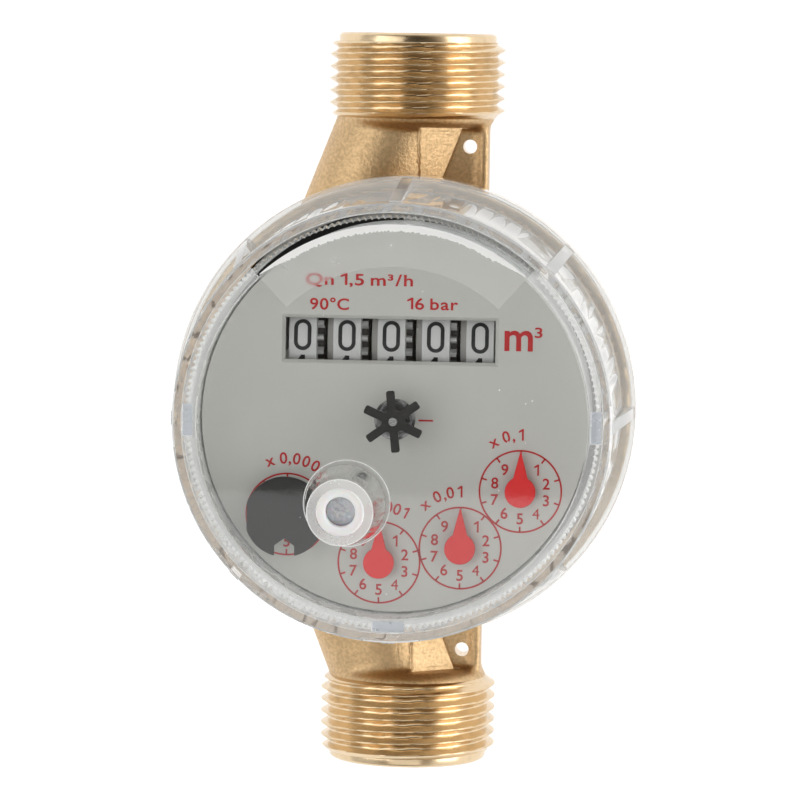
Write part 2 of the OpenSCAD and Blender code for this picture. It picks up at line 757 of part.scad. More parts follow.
module reduction_gear_2() {
  color("white") {
    arbor(gear_2_at);
    on_level(gear_2_at, 1) gear(wheel_teeth, fast_module, gear_2_phase);
    on_level(gear_2_at, 2) gear(second_pinion_teeth, fast_module, 0);
  }
}

module pointer_gear_4() {
  color("white") {
    pointer_arbor(pointer_4_at, disc_z);
    on_level(pointer_4_at, 2) gear(wheel_teeth, fast_module, pointer_4_phase);
    on_level(pointer_4_at, 3) gear(decade_pinion_teeth, slow_module, 0);
  }
}

module idler_gear(at, wheel_level, drive_level, phase) {
  color("white") {
    arbor(at);
    on_level(at, wheel_level) gear(decade_wheel_teeth, slow_module, phase);
    on_level(at, drive_level) gear(decade_drive_teeth, slow_module, 0);
  }
}

module pointer_gear(at, wheel_level, pinion_level, phase) {
  color("white") {
    pointer_arbor(at);
    on_level(at, wheel_level) gear(wheel_teeth, slow_module, phase);
    on_level(at, pinion_level) gear(decade_pinion_teeth, slow_module, 0);
  }
}

module idler_gear_3() {
  idler_gear(idler_3_at, 3, 4, idler_3_phase);
}

module pointer_gear_3() {
  pointer_gear(pointer_3_at, 4, 5, pointer_3_phase);
}

module idler_gear_2() {
  idler_gear(idler_2_at, 5, 6, idler_2_phase);
}

module pointer_gear_2() {
  pointer_gear(pointer_2_at, 6, 4, pointer_2_phase);
}

module idler_gear_1() {
  idler_gear(idler_1_at, 4, 3, idler_1_phase);
}

module pointer_gear_1() {
  color("white") {
    pointer_arbor(pointer_1_at);
    on_level(pointer_1_at, 3) gear(wheel_teeth, slow_module, pointer_1_phase);
    on_level(pointer_1_at, 0) gear(second_pinion_teeth, fast_module, 0);
  }
}

module drum_idler_gear() {
  color("white") {
    arbor(drum_idler_at);
    on_level(drum_idler_at, 0) gear(drum_idler_teeth, fast_module, drum_idler_phase);
  }
}

module worm_arbor() {
  worm_h = worm_turns * worm_pitch;
  color("white") {
    arbor(worm_at);
    on_level(worm_at, 0) gear(worm_teeth, fast_module, worm_phase);
    translate([worm_at[0], worm_at[1], drum_z - worm_h / 2])
      rotate(270 - worm_turns * 180)
        linear_extrude(worm_h, twist = -360 * worm_turns, slices = 20 * worm_turns, $fn = 20)
          translate([worm_e, 0]) circle(r = worm_r);
  }
}

// Pointer that points along +Y: a round hub and a narrower tongue
module pointer(at) {
  tongue_w = 0.48 * pointer_hub_r;
  tongue_y = 0.85 * pointer_hub_r;
  color("red") translate([at[0], at[1], hand_z]) difference() {
    linear_extrude(hand_t) {
      circle(r = pointer_hub_r);
      polygon([[-tongue_w, 0], [tongue_w, 0], [tongue_w, tongue_y], [0, pointer_l],
               [-tongue_w, tongue_y]]);
    }
    translate([0, 0, -eps]) cylinder(r = arbor_r + fit_gap, h = hand_t - cap_t + fit_gap + eps);
  }
}

module pointer_1() {
  pointer(pointer_1_at);
}

module pointer_2() {
  pointer(pointer_2_at);
}

module pointer_3() {
  pointer(pointer_3_at);
}

// Black disc on the fastest pointer arbor, with two flats and a pointed notch
module pulse_disc() {
  flat = 0.94;
  notch_w = 2.9;
  notch_h = 2.7;
  color([0.1, 0.1, 0.1]) translate([pointer_4_at[0], pointer_4_at[1], disc_z]) difference() {
    linear_extrude(hand_t) difference() {
      intersection() {
        circle(r = disc_r);
        square([2 * flat * disc_r, 2 * disc_r], center = true);
      }
      translate([0, -disc_r])
        polygon([[-notch_w / 2, -1], [notch_w / 2, -1], [notch_w / 2, notch_h * 0.6], [0, notch_h],
                 [-notch_w / 2, notch_h * 0.6]]);
    }
    translate([0, 0, -eps]) cylinder(r = arbor_r + fit_gap, h = hand_t - cap_t + fit_gap + eps);
  }
}

// Places a shape drawn along Z on the drum axis, with its left face at x
module on_drum_axis(x) {
  translate([x, drum_y, drum_z]) rotate([0, 90, 0]) children();
}

// Number drum, open on its right, with x at the middle of its face. Angles count from -Z towards +Y.
module drum(x, has_ring = true, has_lock = true) {
  left = has_lock ? lock_w : 0;
  right = has_ring ? ring_w : 0;
  color("whitesmoke") on_drum_axis(x - face_w / 2) difference() {
    union() {
      cylinder(r = drum_r, h = face_w);
      if (has_ring)
        linear_extrude(face_w + ring_w)
          polygon(gear_points(ring_teeth, transfer_module, 90 - transfer_angle + 180 / ring_teeth));
      if (has_lock)
        translate([0, 0, -lock_w]) linear_extrude(lock_w + eps) lock_outline();
    }
    translate([0, 0, drum_web]) difference() {
      cylinder(r = ring_in_r, h = face_w + ring_w);
      cylinder(r = drum_hub_r, h = face_w + right - drum_web);
    }
    translate([0, 0, -left - eps])
      cylinder(r = drum_shaft_r + run_gap, h = left + face_w + right + 2 * eps);
  }
}

// Lock disc with the two teeth that step the next drum on once a turn
module lock_outline() {
  pitch = 360 / ring_teeth;
  tip = transfer_module * (ring_teeth / 2 + 0.9);
  root_w = 1.8 * transfer_module;
  tip_w = 0.9 * transfer_module;
  difference() {
    circle(r = lock_r);
    rotate(90 - transfer_angle - lock_tooth_angle)
      polygon([[0, 0], polar(2 * lock_r, -pitch), polar(2 * lock_r, pitch)]);
  }
  circle(r = lock_r - root_w);
  for (s = [-1, 1])
    rotate(90 - transfer_angle - lock_tooth_angle + s * pitch / 2)
      polygon([[0, -root_w / 2], [tip, -tip_w / 2], [tip, tip_w / 2], [0, root_w / 2]]);
}

module drum_1() {
  drum(units_x, has_ring = false);
  wheel_x = worm_x - worm_wheel_w / 2;
  color("whitesmoke") difference() {
    union() {
      on_drum_axis(units_x + face_w / 2 - eps)
        cylinder(r = drum_hub_r, h = wheel_x - units_x - face_w / 2 + 2 * eps);
      on_drum_axis(wheel_x) gear(worm_wheel_teeth, worm_module, 270, worm_wheel_w);
    }
    on_drum_axis(units_x) cylinder(r = drum_shaft_r + run_gap, h = worm_x);
  }
}

module drum_2() {
  drum(units_x - drum_pitch);
}

module drum_3() {
  drum(units_x - 2 * drum_pitch);
}

module drum_4() {
  drum(units_x - 3 * drum_pitch);
}

module drum_5() {
  drum(units_x - 4 * drum_pitch, has_lock = false);
}

module drum_shaft() {
  color("silver") on_drum_axis(cheek_left_x - cheek_t)
    cylinder(r = drum_shaft_r, h = cheek_out_x - cheek_left_x + 2 * cheek_t);
}

module cheek(x) {
  color("gainsboro") translate([x, 0, lower_top]) rotate([90, 0, 90]) linear_extrude(cheek_t)
    difference() {
      polygon([[cheek_y0, 0], [cheek_y1, 0],
               [cheek_y1, transfer_z + pinion_shaft_r + cheek_edge - lower_top],
               [drum_y + drum_shaft_r + cheek_edge, cheek_h], [cheek_y0, cheek_h]]);
      translate([drum_y, drum_z - lower_top]) circle(r = drum_shaft_r + fit_gap);
      translate([transfer_y, transfer_z - lower_top]) circle(r = pinion_shaft_r + fit_gap);
    }
}

module drum_cheeks() {
  cheek(cheek_left_x - cheek_t);
  cheek(cheek_out_x);
}

// Transfer pinion between two drums: every second tooth stops short of the lock disc
module transfer_pinion(n) {
  x = units_x - n * drum_pitch + face_w / 2 + transfer_gap;
  w = drum_gap - 2 * transfer_gap;
  short_w = ring_w - transfer_gap + free_gap;
  long_tooth_w = 2.2 * transfer_module;
  phase = 270 - transfer_angle;
  color("black") translate([x, transfer_y, transfer_z]) rotate([0, 90, 0]) difference() {
    union() {
      linear_extrude(short_w) polygon(gear_points(transfer_teeth, transfer_module, phase));
      linear_extrude(w) intersection() {
        polygon(gear_points(transfer_teeth, transfer_module, phase));
        for (a = [0, 90])
          rotate(phase + 45 + a) square([3 * transfer_tip_r, long_tooth_w], center = true);
      }
      cylinder(r = transfer_module * (transfer_teeth / 2 - 1.2), h = w);
    }
    translate([0, 0, -eps]) cylinder(r = pinion_shaft_r + run_gap, h = w + 2 * eps);
  }
}

module transfer_pinion_1() {
  transfer_pinion(1);
}

module transfer_pinion_2() {
  transfer_pinion(2);
}

module transfer_pinion_3() {
  transfer_pinion(3);
}

module transfer_pinion_4() {
  transfer_pinion(4);
}

module pinion_shaft() {
  color("silver") translate([cheek_left_x - cheek_t, transfer_y, transfer_z]) rotate([0, 90, 0])
    cylinder(r = pinion_shaft_r, h = cheek_out_x - cheek_left_x + 2 * cheek_t);
}

module lens_gasket() {
  color("black") translate([0, 0, flange_top]) difference() {
    cylinder(r = lens_r + lens_wall + free_gap, h = gasket_t);
    translate([0, 0, -eps]) cylinder(r = lens_r, h = gasket_t + 2 * eps);
  }
}

// Ring of pointed locking teeth around the lens
module lens_tooth_ring() {
  root = tooth_tip_r - lens_tooth_h;
  linear_extrude(tooth_band_h)
    polygon([for (i = [0 : 2 * lens_teeth - 1])
             polar(i % 2 == 0 ? tooth_tip_r : root, i * 180 / lens_teeth)]);
}

module lens() {
  band_z = lens_face - tooth_band_h;
  color([0.9, 0.92, 0.92, 0.4]) difference() {
    union() {
      translate([0, 0, lens_z])
        cylinder(r = lens_r + lens_wall, h = lens_face - lens_z - tooth_band_h / 2);
      translate([0, 0, band_z]) lens_tooth_ring();
      rotate(pad_angle0) rotate_extrude(angle = pad_angle1 - pad_angle0)
        translate([pad_in_r, lens_under + eps]) square([lens_r - pad_in_r, lens_top + pad_h - eps]);
      translate([port_x, port_y, lens_under + eps])
        cylinder(r1 = port_root_r, r2 = port_tip_r, h = lens_top + port_h - eps);
    }
    translate([0, 0, lens_z - eps]) cylinder(r = lens_r, h = lens_under - lens_z + eps);
    translate([port_x, port_y, lens_under - eps])
      cylinder(r = plug_r + fit_gap, h = lens_top + port_h + 2 * eps);
  }
}

module port_plug() {
  top = lens_face + port_h - plug_sink;
  color("white") translate([port_x, port_y, 0]) difference() {
    translate([0, 0, top - plug_h]) cylinder(r = plug_r, h = plug_h);
    translate([0, 0, top - plug_recess_h]) cylinder(r = plug_recess_r, h = plug_recess_h + eps);
  }
}

module port_seal() {
  color("gainsboro") translate([port_x, port_y, lens_face + port_h - plug_sink - plug_recess_h])
    cylinder(r = plug_recess_r - fit_gap, h = seal_h);
}

module snap_ring() {
  color([0.93, 0.94, 0.93, 0.4]) {
    difference() {
      union() {
        ring_profile();
        ring_ribs();
      }
      rotate(pad_angle0) rotate_extrude(angle = pad_angle1 - pad_angle0)
        translate([lip_r - 1, lens_face - eps]) square([ring_top_in - lip_stub - lip_r + 1, lip_t + 1]);
      for (a = tab_angles)
        rotate(a) translate([lip_r + tab_edge, -tab_w / 2, lens_face + lip_t / 3])
          cube([tab_recess, tab_w, lip_t]);
    }
    for (a = [45 / 2 : 90 : 360])
      rotate(a - hook_angle / 2) rotate_extrude(angle = hook_angle) ring_hook();
  }
}

module ring_profile() {
  rotate_extrude() polygon([[skirt_r, rim_top - rim_h - rim_chamfer - hook_drop],
    [ring_r, rim_top - rim_h - rim_chamfer - hook_drop], [ring_r, rim_top + ring_flange_t],
    [ring_foot_in + ring_wall, rim_top + ring_flange_t], [ring_top_in + ring_wall, ring_top - free_gap],
    [ring_top_in + ring_wall - free_gap, ring_top], [lip_r, ring_top], [lip_r, lip_z],
    [ring_top_in, lip_z], [ring_foot_in, rim_top], [skirt_r, rim_top]]);
}

module ring_ribs() {
  foot = rim_top + ring_flange_t - eps;
  head = ring_top - 2 * free_gap;
  for (i = [0 : ribs - 1])
    rotate(i * 360 / ribs) translate([0, rib_w / 2, 0]) rotate([90, 0, 0]) linear_extrude(rib_w)
      polygon([[ring_foot_in + ring_wall / 2, foot], [ring_r - rib_step, foot],
               [ring_top_in + ring_wall + rib_step, head], [ring_top_in + ring_wall / 2, head]]);
}

module ring_hook() {
  z = rim_top - rim_h - rim_chamfer - hook_drop;
  polygon([[skirt_r + eps, z + eps], [skirt_r + eps, z + hook_drop],
           [groove_r + hook_gap, z + hook_drop], [skirt_r - hook_gap, z + eps]]);
}

body();
inlet_strainer();
impeller_pin();
impeller();
impeller_magnet();
pressure_plate();
plate_oring();
clamp_ring();
register_base();
base_spacers();
lower_plate();
frame_pillars();
top_plate();
dial_plate();
star_bush();
centre_arbor();
follower_magnet();
star_wheel();
reduction_gear_1();
reduction_gear_2();
pointer_gear_4();
idler_gear_3();
pointer_gear_3();
idler_gear_2();
pointer_gear_2();
idler_gear_1();
pointer_gear_1();
drum_idler_gear();
worm_arbor();
pointer_1();
pointer_2();
pointer_3();
pulse_disc();
drum_1();
drum_2();
drum_3();
drum_4();
drum_5();
drum_shaft();
drum_cheeks();
transfer_pinion_1();
transfer_pinion_2();
transfer_pinion_3();
transfer_pinion_4();
pinion_shaft();
lens_gasket();
lens();
port_plug();
port_seal();
snap_ring();
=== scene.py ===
"""Looks of a single-jet water meter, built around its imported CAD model.

The file is laid out as a Blender add-on and is run as a script. Lengths of the meter are given in
millimetres, and MM takes them to the metres of the model's frame: X to the right, Y along the
pipe, Z up. The stage is given in metres.
"""

import math

import bmesh
import bpy
from bpy.props import FloatProperty, FloatVectorProperty, IntProperty, PointerProperty
from mathutils import Matrix, Vector, noise


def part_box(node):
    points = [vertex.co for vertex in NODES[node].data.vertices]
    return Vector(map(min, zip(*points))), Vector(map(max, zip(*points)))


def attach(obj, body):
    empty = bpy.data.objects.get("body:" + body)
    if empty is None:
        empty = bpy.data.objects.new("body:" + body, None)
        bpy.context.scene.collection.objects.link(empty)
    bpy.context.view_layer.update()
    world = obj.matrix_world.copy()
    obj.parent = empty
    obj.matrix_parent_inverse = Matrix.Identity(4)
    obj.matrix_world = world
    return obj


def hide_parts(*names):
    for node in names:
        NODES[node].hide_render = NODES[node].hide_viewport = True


bl_info = {
    "name": "Water meter looks",
    "version": (1, 0, 0),
    "blender": (4, 5, 0),
    "location": "3D View > Sidebar > Water meter",
    "description": "Dresses the packed water meter: casting, threads, print, digits and finishes",
    "category": "Object",
}

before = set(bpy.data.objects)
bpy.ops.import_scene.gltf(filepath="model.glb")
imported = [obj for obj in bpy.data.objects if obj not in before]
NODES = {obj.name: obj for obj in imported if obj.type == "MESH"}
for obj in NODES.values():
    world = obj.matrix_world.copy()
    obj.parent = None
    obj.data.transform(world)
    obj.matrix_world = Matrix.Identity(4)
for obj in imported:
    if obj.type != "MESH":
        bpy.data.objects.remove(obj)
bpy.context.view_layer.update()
MM = 0.001

# Sizes and places that the CAD source works out
DIAL_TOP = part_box("dial_plate")[1].z / MM
LENS_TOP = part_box("lens")[1].z / MM
END_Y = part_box("body")[1].y / MM
PIPE_Z = 15.0
THREAD_Y = 42.6
RIM_TOP = 34.2
NECK_ANGLE = math.radians(21.21)
NECK_CROSS = 5.7  # from the end face to where the axes of neck and pipe meet
NECK_R = 8.7
NECK_BORE_R = 5.8
NECK_L = 43.39
DRUM_AXIS = (11.0, 45.1)
DRUM_R = 8.3
DRUM_PITCH = 6.36
UNITS_X = 11.96
POINTERS = {
    1: (18.1395, -9.9723),
    2: (9.6542, -18.3108),
    3: (-1.948, -20.6081),
    4: (-15.286, -13.9581),
}
PORT = (-6.2, -11.5)
PAD_TOP = 62.6
LENS_R = 28.25


# ---------------------------------------------------------------- settings


def colour_setting(name, description, default):
    """A colour."""
    return FloatVectorProperty(
        name=name, description=description, subtype="COLOR", size=3, min=0, max=1, default=default)


def length_setting(name, description, default):
    """A length, with its default in millimetres."""
    return FloatProperty(
        name=name, description=description, default=default * MM, unit="LENGTH", precision=5)


class MeterBrass(bpy.types.PropertyGroup):
    """Sizes and colours of the brass body."""

    cast_colour: colour_setting("Casting", "Colour of the sand-cast brass", (0.72, 0.50, 0.27))
    turned_colour: colour_setting("Turned brass", "Colour of machined brass", (0.76, 0.59, 0.38))
    pitch: length_setting("Thread pitch", "Distance from crest to crest", 1.814)
    crest_radius: length_setting("Crest radius", "Radius over the thread's crests", 13.22)
    root_radius: length_setting("Root radius", "Radius at the thread's roots", 12.06)
    voxel: length_setting("Casting voxel", "Fineness of the casting's mesh", 0.5)
    grain: length_setting("Sand grain", "Height of the grain that the mould leaves", 0.05)


class MeterDial(bpy.types.PropertyGroup):
    """Sizes and colours of the dial, its print and its hands."""

    dial_colour: colour_setting("Dial", "Colour of the dial plate", (0.54, 0.54, 0.515))
    ink_colour: colour_setting("Ink", "Colour of the dial's print", (0.47, 0.012, 0.016))
    hand_colour: colour_setting("Pointers", "Colour of the pointers", (0.74, 0.010, 0.013))
    digit_colour: colour_setting("Digits", "Colour of the drums' digits", (0.012, 0.013, 0.015))
    ring_radius: length_setting("Scale radius", "Radius of the circle round a pointer", 5.85)
    line: length_setting("Line width", "Width of the printed lines", 0.25)
    digit_height: length_setting("Scale digits", "Height of the digits round a pointer", 1.62)
    word_height: length_setting("Words", "Height of the capitals in the dial's words", 1.68)


class MeterClear(bpy.types.PropertyGroup):
    """Colours of the clear and white plastics."""

    clear_colour: colour_setting(
        "Clear plastic", "Tint of the lens and the snap ring", (0.965, 0.97, 0.965))
    white_colour: colour_setting(
        "White plastic", "Colour of the gears and the strainer", (0.82, 0.82, 0.82))
    ior: FloatProperty(
        name="Refraction", description="Index of refraction of the clear plastic", default=1.5,
        min=1.3, max=1.7)
    lumps: IntProperty(
        name="Seal lumps", description="Number that sets the shape of the sealing compound",
        default=7, min=1)


class MeterStage(bpy.types.PropertyGroup):
    """Camera, floor and light."""

    lens: FloatProperty(
        name="Focal length", description="Focal length on a 36 mm sensor, in millimetres",
        default=204.3)
    camera_place: FloatVectorProperty(
        name="Camera", description="Place of the camera", subtype="TRANSLATION", size=3,
        unit="LENGTH", default=(0.0428, 0.0564, 0.7004))
    camera_turn: FloatVectorProperty(
        name="Turn", description="Turn of the view about X, Y and Z", subtype="EULER", size=3,
        unit="ROTATION", default=(math.radians(4.75), math.radians(-3.72), math.radians(-1.21)))
    floor_colour: colour_setting("Floor", "Colour of the floor", (0.35, 0.35, 0.35))
    floor_glow: FloatProperty(
        name="Floor glow",
        description="White that the floor adds for the camera and for reflections",
        default=0.88, min=0, max=1)
    side_light: FloatProperty(
        name="Side light", description="Brightness of the room round the object", default=0.85,
        min=0, max=2)
    top_light: FloatProperty(
        name="Top light", description="Brightness of the room above the object", default=0.10,
        min=0, max=2)


# ---------------------------------------------------------------- meshes


def mm(*values):
    """A vector given in millimetres."""
    return Vector(values) * MM


def turns(count):
    """Angles in equal steps all the way round, in radians."""
    return [2 * math.pi * i / count for i in range(count)]


def polar(radius, angle):
    """A point at a radius and an angle in radians."""
    return radius * math.cos(angle), radius * math.sin(angle)


def bearing(spot):
    """A point's distance from the dial's axis, its angle in degrees and its height."""
    turn = math.degrees(math.atan2(spot.y, spot.x))
    return math.hypot(spot.x, spot.y) / MM, turn, spot.z / MM


def within(value, ends):
    """Whether a value lies between two ends."""
    return ends[0] < value < ends[1]


def put(name, data):
    """A new object in the scene."""
    made = bpy.data.objects.new(name, data)
    bpy.context.scene.collection.objects.link(made)
    return made


def from_bmesh(name, bm):
    """A new object from a bmesh, with outward normals."""
    bmesh.ops.recalc_face_normals(bm, faces=bm.faces)
    mesh = bpy.data.meshes.new(name)
    bm.to_mesh(mesh)
    bm.free()
    return put(name, mesh)


def smooth(made, angle):
    """Smooth shading with sharp edges above an angle in degrees."""
    mesh = made.data
    mesh.polygons.foreach_set("use_smooth", [True] * len(mesh.polygons))
    mesh.set_sharp_from_angle(angle=math.radians(angle))


def loft(bm, rows, capped=True):
    """Joins closed rows of vertices in their order. A row of one vertex is a tip."""
    count = max(len(row) for row in rows)
    for a, b in zip(rows, rows[1:]):
        for i in range(count):
            j = (i + 1) % count
            corners = [a[i % len(a)], a[j % len(a)], b[j % len(b)], b[i % len(b)]]
            bm.faces.new(list(dict.fromkeys(corners)))
    if capped:
        bm.faces.new(rows[0])
        bm.faces.new(rows[-1])


def revolve(bm, profile, segments, axes=Matrix.Identity(4)):
    """Closed solid of revolution over a profile of (radius, height), from axis to axis."""
    rings = []
    for r, h in profile:
        spots = [polar(r, t) for t in turns(segments)] if r > 0 else [(0, 0)]
        rings.append([bm.verts.new(axes @ mm(x, y, h)) for x, y in spots])
    loft(bm, rings, capped=False)


def prism(bm, outline, length, axes, start):
    """Closed prism over an outline, along its own Z."""
    ends = (start, start + length)
    rows = [[bm.verts.new(axes @ mm(x, y, z)) for x, y in outline] for z in ends]
    for row in rows:
        bm.faces.new(row)
    loft(bm, rows, capped=False)


def evaluated_copy(made):
    """A new mesh with the object's modifiers applied."""
    bpy.context.view_layer.update()
    depsgraph = bpy.context.evaluated_depsgraph_get()
    return bpy.data.meshes.new_from_object(made.evaluated_get(depsgraph))


def bake_modifiers(made):
    """Applies the object's modifiers to its mesh."""
    mesh = evaluated_copy(made)
    old = made.data
    made.modifiers.clear()
    made.data = mesh
    bpy.data.meshes.remove(old)


def combine(made, tool, operation):
    """Adds or cuts another closed solid, which is then deleted."""
    step = made.modifiers.new("combine", "BOOLEAN")
    step.operation = operation
    step.solver = "MANIFOLD"
    step.object = tool
    bake_modifiers(made)
    mesh = tool.data
    bpy.data.objects.remove(tool)
    bpy.data.meshes.remove(mesh)


def soft_copy(node, name, width, body, angle=35, only=None, segments=2):
    """A visible copy of a CAD node with rounded edges. only picks the edges by their two ends."""
    bm = bmesh.new()
    bm.from_mesh(NODES[node].data)
    bmesh.ops.remove_doubles(bm, verts=bm.verts, dist=1e-6)
    bmesh.ops.dissolve_limit(bm, angle_limit=math.radians(0.4), verts=bm.verts, edges=bm.edges)
    least = math.radians(angle)
    sharp = [e for e in bm.edges if len(e.link_faces) == 2 and e.calc_face_angle(0) > least]
    if only:
        sharp = [e for e in sharp if only(e.verts[0].co, e.verts[1].co)]
    bmesh.ops.bevel(
        bm, geom=sharp, offset=width * MM, segments=segments, profile=0.5, affect="EDGES",
        clamp_overlap=True)
    made = from_bmesh(name, bm)
    smooth(made, 22)
    not_level = [abs(f.normal.z) < 0.9999 for f in made.data.polygons]
    made.data.polygons.foreach_set("use_smooth", not_level)
    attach(made, body)
    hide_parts(node)
    return made


def paint_faces(made, materials, pick):
    """Gives each face the material whose key pick returns for the face's centre and normal."""
    for material in materials.values():
        made.data.materials.append(material)
    order = {key: index for index, key in enumerate(materials)}
    picked = [order[pick(f.center, f.normal)] for f in made.data.polygons]
    made.data.polygons.foreach_set("material_index", picked)


# ---------------------------------------------------------------- shader groups


COLOUR, VALUE = "NodeSocketColor", "NodeSocketFloat"
SKIN_OUTPUTS = {"Colour": COLOUR, "Roughness": VALUE, "Height": VALUE}


def group(name, inputs, outputs):
    """An empty shader group with named sockets: its tree, its inputs and its output node."""
    tree = bpy.data.node_groups.new(name, "ShaderNodeTree")
    for socket, default in inputs.items():
        kind = COLOUR if isinstance(default, tuple) else VALUE
        made = tree.interface.new_socket(socket, in_out="INPUT", socket_type=kind)
        made.default_value = default
    for socket, kind in outputs.items():
        tree.interface.new_socket(socket, in_out="OUTPUT", socket_type=kind)
    return tree, tree.nodes.new("NodeGroupInput").outputs, tree.nodes.new("NodeGroupOutput")


def fill(tree, node, inputs):
    """Sets or links a node's inputs."""
    for key, value in inputs.items():
        if isinstance(value, bpy.types.NodeSocket):
            tree.links.new(value, node.inputs[key])
        else:
            node.inputs[key].default_value = value
    return node


def add(tree, kind, inputs=None, **settings):
    """A node in a tree, with its settings and its input values or links."""
    made = tree.nodes.new(kind)
    for key, value in settings.items():
        setattr(made, key, value)
    return fill(tree, made, inputs or {})


def math_node(tree, operation, a, b=0.0):
    """A maths node's result."""
    return add(tree, "ShaderNodeMath", {0: a, 1: b}, operation=operation).outputs[0]


def mix_colour(tree, factor, a, b, blend="MIX"):
    """A mixed colour."""
    keys = {0: factor, 6: a, 7: b}
    return add(tree, "ShaderNodeMix", keys, data_type="RGBA", blend_type=blend).outputs[2]


def ramp(tree, value, low, high, to_low=0.0, to_high=1.0):
    """A value taken from one range to another."""
    keys = {"Value": value, "From Min": low, "From Max": high, "To Min": to_low, "To Max": to_high}
    return add(tree, "ShaderNodeMapRange", keys).outputs[0]


def noise_node(tree, vector, scale, detail=3.0, rough=0.5):
    """A noise value between 0 and 1."""
    keys = {"Vector": vector, "Scale": scale, "Detail": detail, "Roughness": rough}
    return add(tree, "ShaderNodeTexNoise", keys).outputs["Fac"]


def about_middle(tree, value, share):
    """A value's distance from one half, times a share."""
    return math_node(tree, "MULTIPLY", math_node(tree, "SUBTRACT", value, 0.5), share)


def own_place(tree):
    """Coordinates in the object's own frame."""
    return add(tree, "ShaderNodeTexCoord").outputs["Object"]


def moulded_skin():
    """Group for moulded plastic: slow drift of the colour and the gloss, and a fine skin."""
    tree, given, sink = group("moulded_skin", {
        "Colour": (0.8, 0.8, 0.8, 1), "Drift": 0.06, "Scale": 900.0, "Gloss": 0.4}, SKIN_OUTPUTS)
    place = own_place(tree)
    slow = noise_node(tree, place, 90.0, 2.0)
    fine = noise_node(tree, place, given["Scale"], 4.0, 0.6)
    bright = math_node(tree, "ADD", about_middle(tree, slow, given["Drift"]), 1.0)
    keys = {0: given["Colour"], "Scale": bright}
    scaled = add(tree, "ShaderNodeVectorMath", keys, operation="SCALE").outputs[0]
    rough = math_node(tree, "ADD", given["Gloss"], about_middle(tree, fine, 0.18))
    fill(tree, sink, {"Colour": scaled, "Roughness": rough, "Height": fine})
    return tree


def cast_skin():
    """Group for sand-cast metal: grain, pits and a darker tone where the sand sat."""
    tree, given, sink = group("cast_skin", {
        "Colour": (0.7, 0.5, 0.2, 1), "Pit colour": (0.4, 0.27, 0.1, 1),
        "Scale": 1500.0}, SKIN_OUTPUTS)
    place = own_place(tree)
    grain = noise_node(tree, place, given["Scale"], 5.0, 0.65)
    blotch = noise_node(tree, place, 160.0, 3.0)
    pits = math_node(tree, "MULTIPLY", ramp(tree, grain, 0.40, 0.60, 1.0, 0.0), 0.5)
    stained = mix_colour(tree, pits, given["Colour"], given["Pit colour"])
    dull = math_node(tree, "MULTIPLY", ramp(tree, blotch, 0.4, 0.7), 0.22)
    fill(tree, sink, {
        "Colour": mix_colour(tree, dull, stained, given["Pit colour"]),
        "Roughness": ramp(tree, grain, 0.3, 0.7, 0.46, 0.34), "Height": grain})
    return tree


def turned_skin():
    """Group for machined metal: fine tool lines across Y and faint stains."""
    tree, given, sink = group("turned_skin", {
        "Colour": (0.8, 0.6, 0.3, 1), "Stain": (0.5, 0.33, 0.12, 1), "Lines": 9000.0}, SKIN_OUTPUTS)
    place = own_place(tree)
    keys = {0: place, 1: (0.03, 1.0, 0.03)}
    squeeze = add(tree, "ShaderNodeVectorMath", keys, operation="MULTIPLY").outputs[0]
    lines = noise_node(tree, squeeze, given["Lines"], 2.0)
    stain = ramp(tree, noise_node(tree, place, 320.0, 4.0), 0.5, 0.8, 0.0, 0.5)
    fill(tree, sink, {
        "Colour": mix_colour(tree, stain, given["Colour"], given["Stain"]),
        "Roughness": ramp(tree, lines, 0.3, 0.7, 0.15, 0.26), "Height": lines})
    return tree


def fine_specks():
    """Group for dust: a mask of small specks."""
    tree, given, sink = group("fine_specks", {"Scale": 420.0, "Amount": 0.07}, {"Mask": VALUE})
    place = own_place(tree)
    keys = {"Vector": place, "Scale": given["Scale"], "Randomness": 1.0}
    cells = add(tree, "ShaderNodeTexVoronoi", keys)
    near = math_node(tree, "LESS_THAN", cells.outputs["Distance"], given["Amount"])
    rare = math_node(tree, "GREATER_THAN", noise_node(tree, place, 140.0, 1.0), 0.62)
    fill(tree, sink, {"Mask": math_node(tree, "MULTIPLY", near, rare)})
    return tree


GROUP_MAKERS = {
    "moulded_skin": moulded_skin,
    "cast_skin": cast_skin,
    "turned_skin": turned_skin,
    "fine_specks": fine_specks,
}


# ---------------------------------------------------------------- materials


def place_group(tree, name, inputs):
    """A group node in a material. The group is built the first time it is used."""
    made = bpy.data.node_groups.get(name) or GROUP_MAKERS[name]()
    return add(tree, "ShaderNodeGroup", inputs, node_tree=made)


def blank_material(name):
    """A new material with its tree, Principled shader and output node."""
    made = bpy.data.materials.new(name)
    made.use_nodes = True
    tree = made.node_tree
    return made, tree, tree.nodes["Principled BSDF"], tree.nodes["Material Output"]


def wear(tree, principled, skin, bump, distance):
    """Gives a Principled shader the colour, the roughness and the relief of a skin group."""
    keys = {"Strength": bump, "Distance": distance * MM, "Height": skin.outputs["Height"]}
    lift = add(tree, "ShaderNodeBump", keys)
    fill(tree, principled, {
        "Base Color": skin.outputs["Colour"], "Roughness": skin.outputs["Roughness"],
        "Normal": lift.outputs[0]})


def rgba(colour, share=1.0):
    """A colour at a share of its brightness, with full alpha."""
    return (*(c * share for c in colour), 1.0)


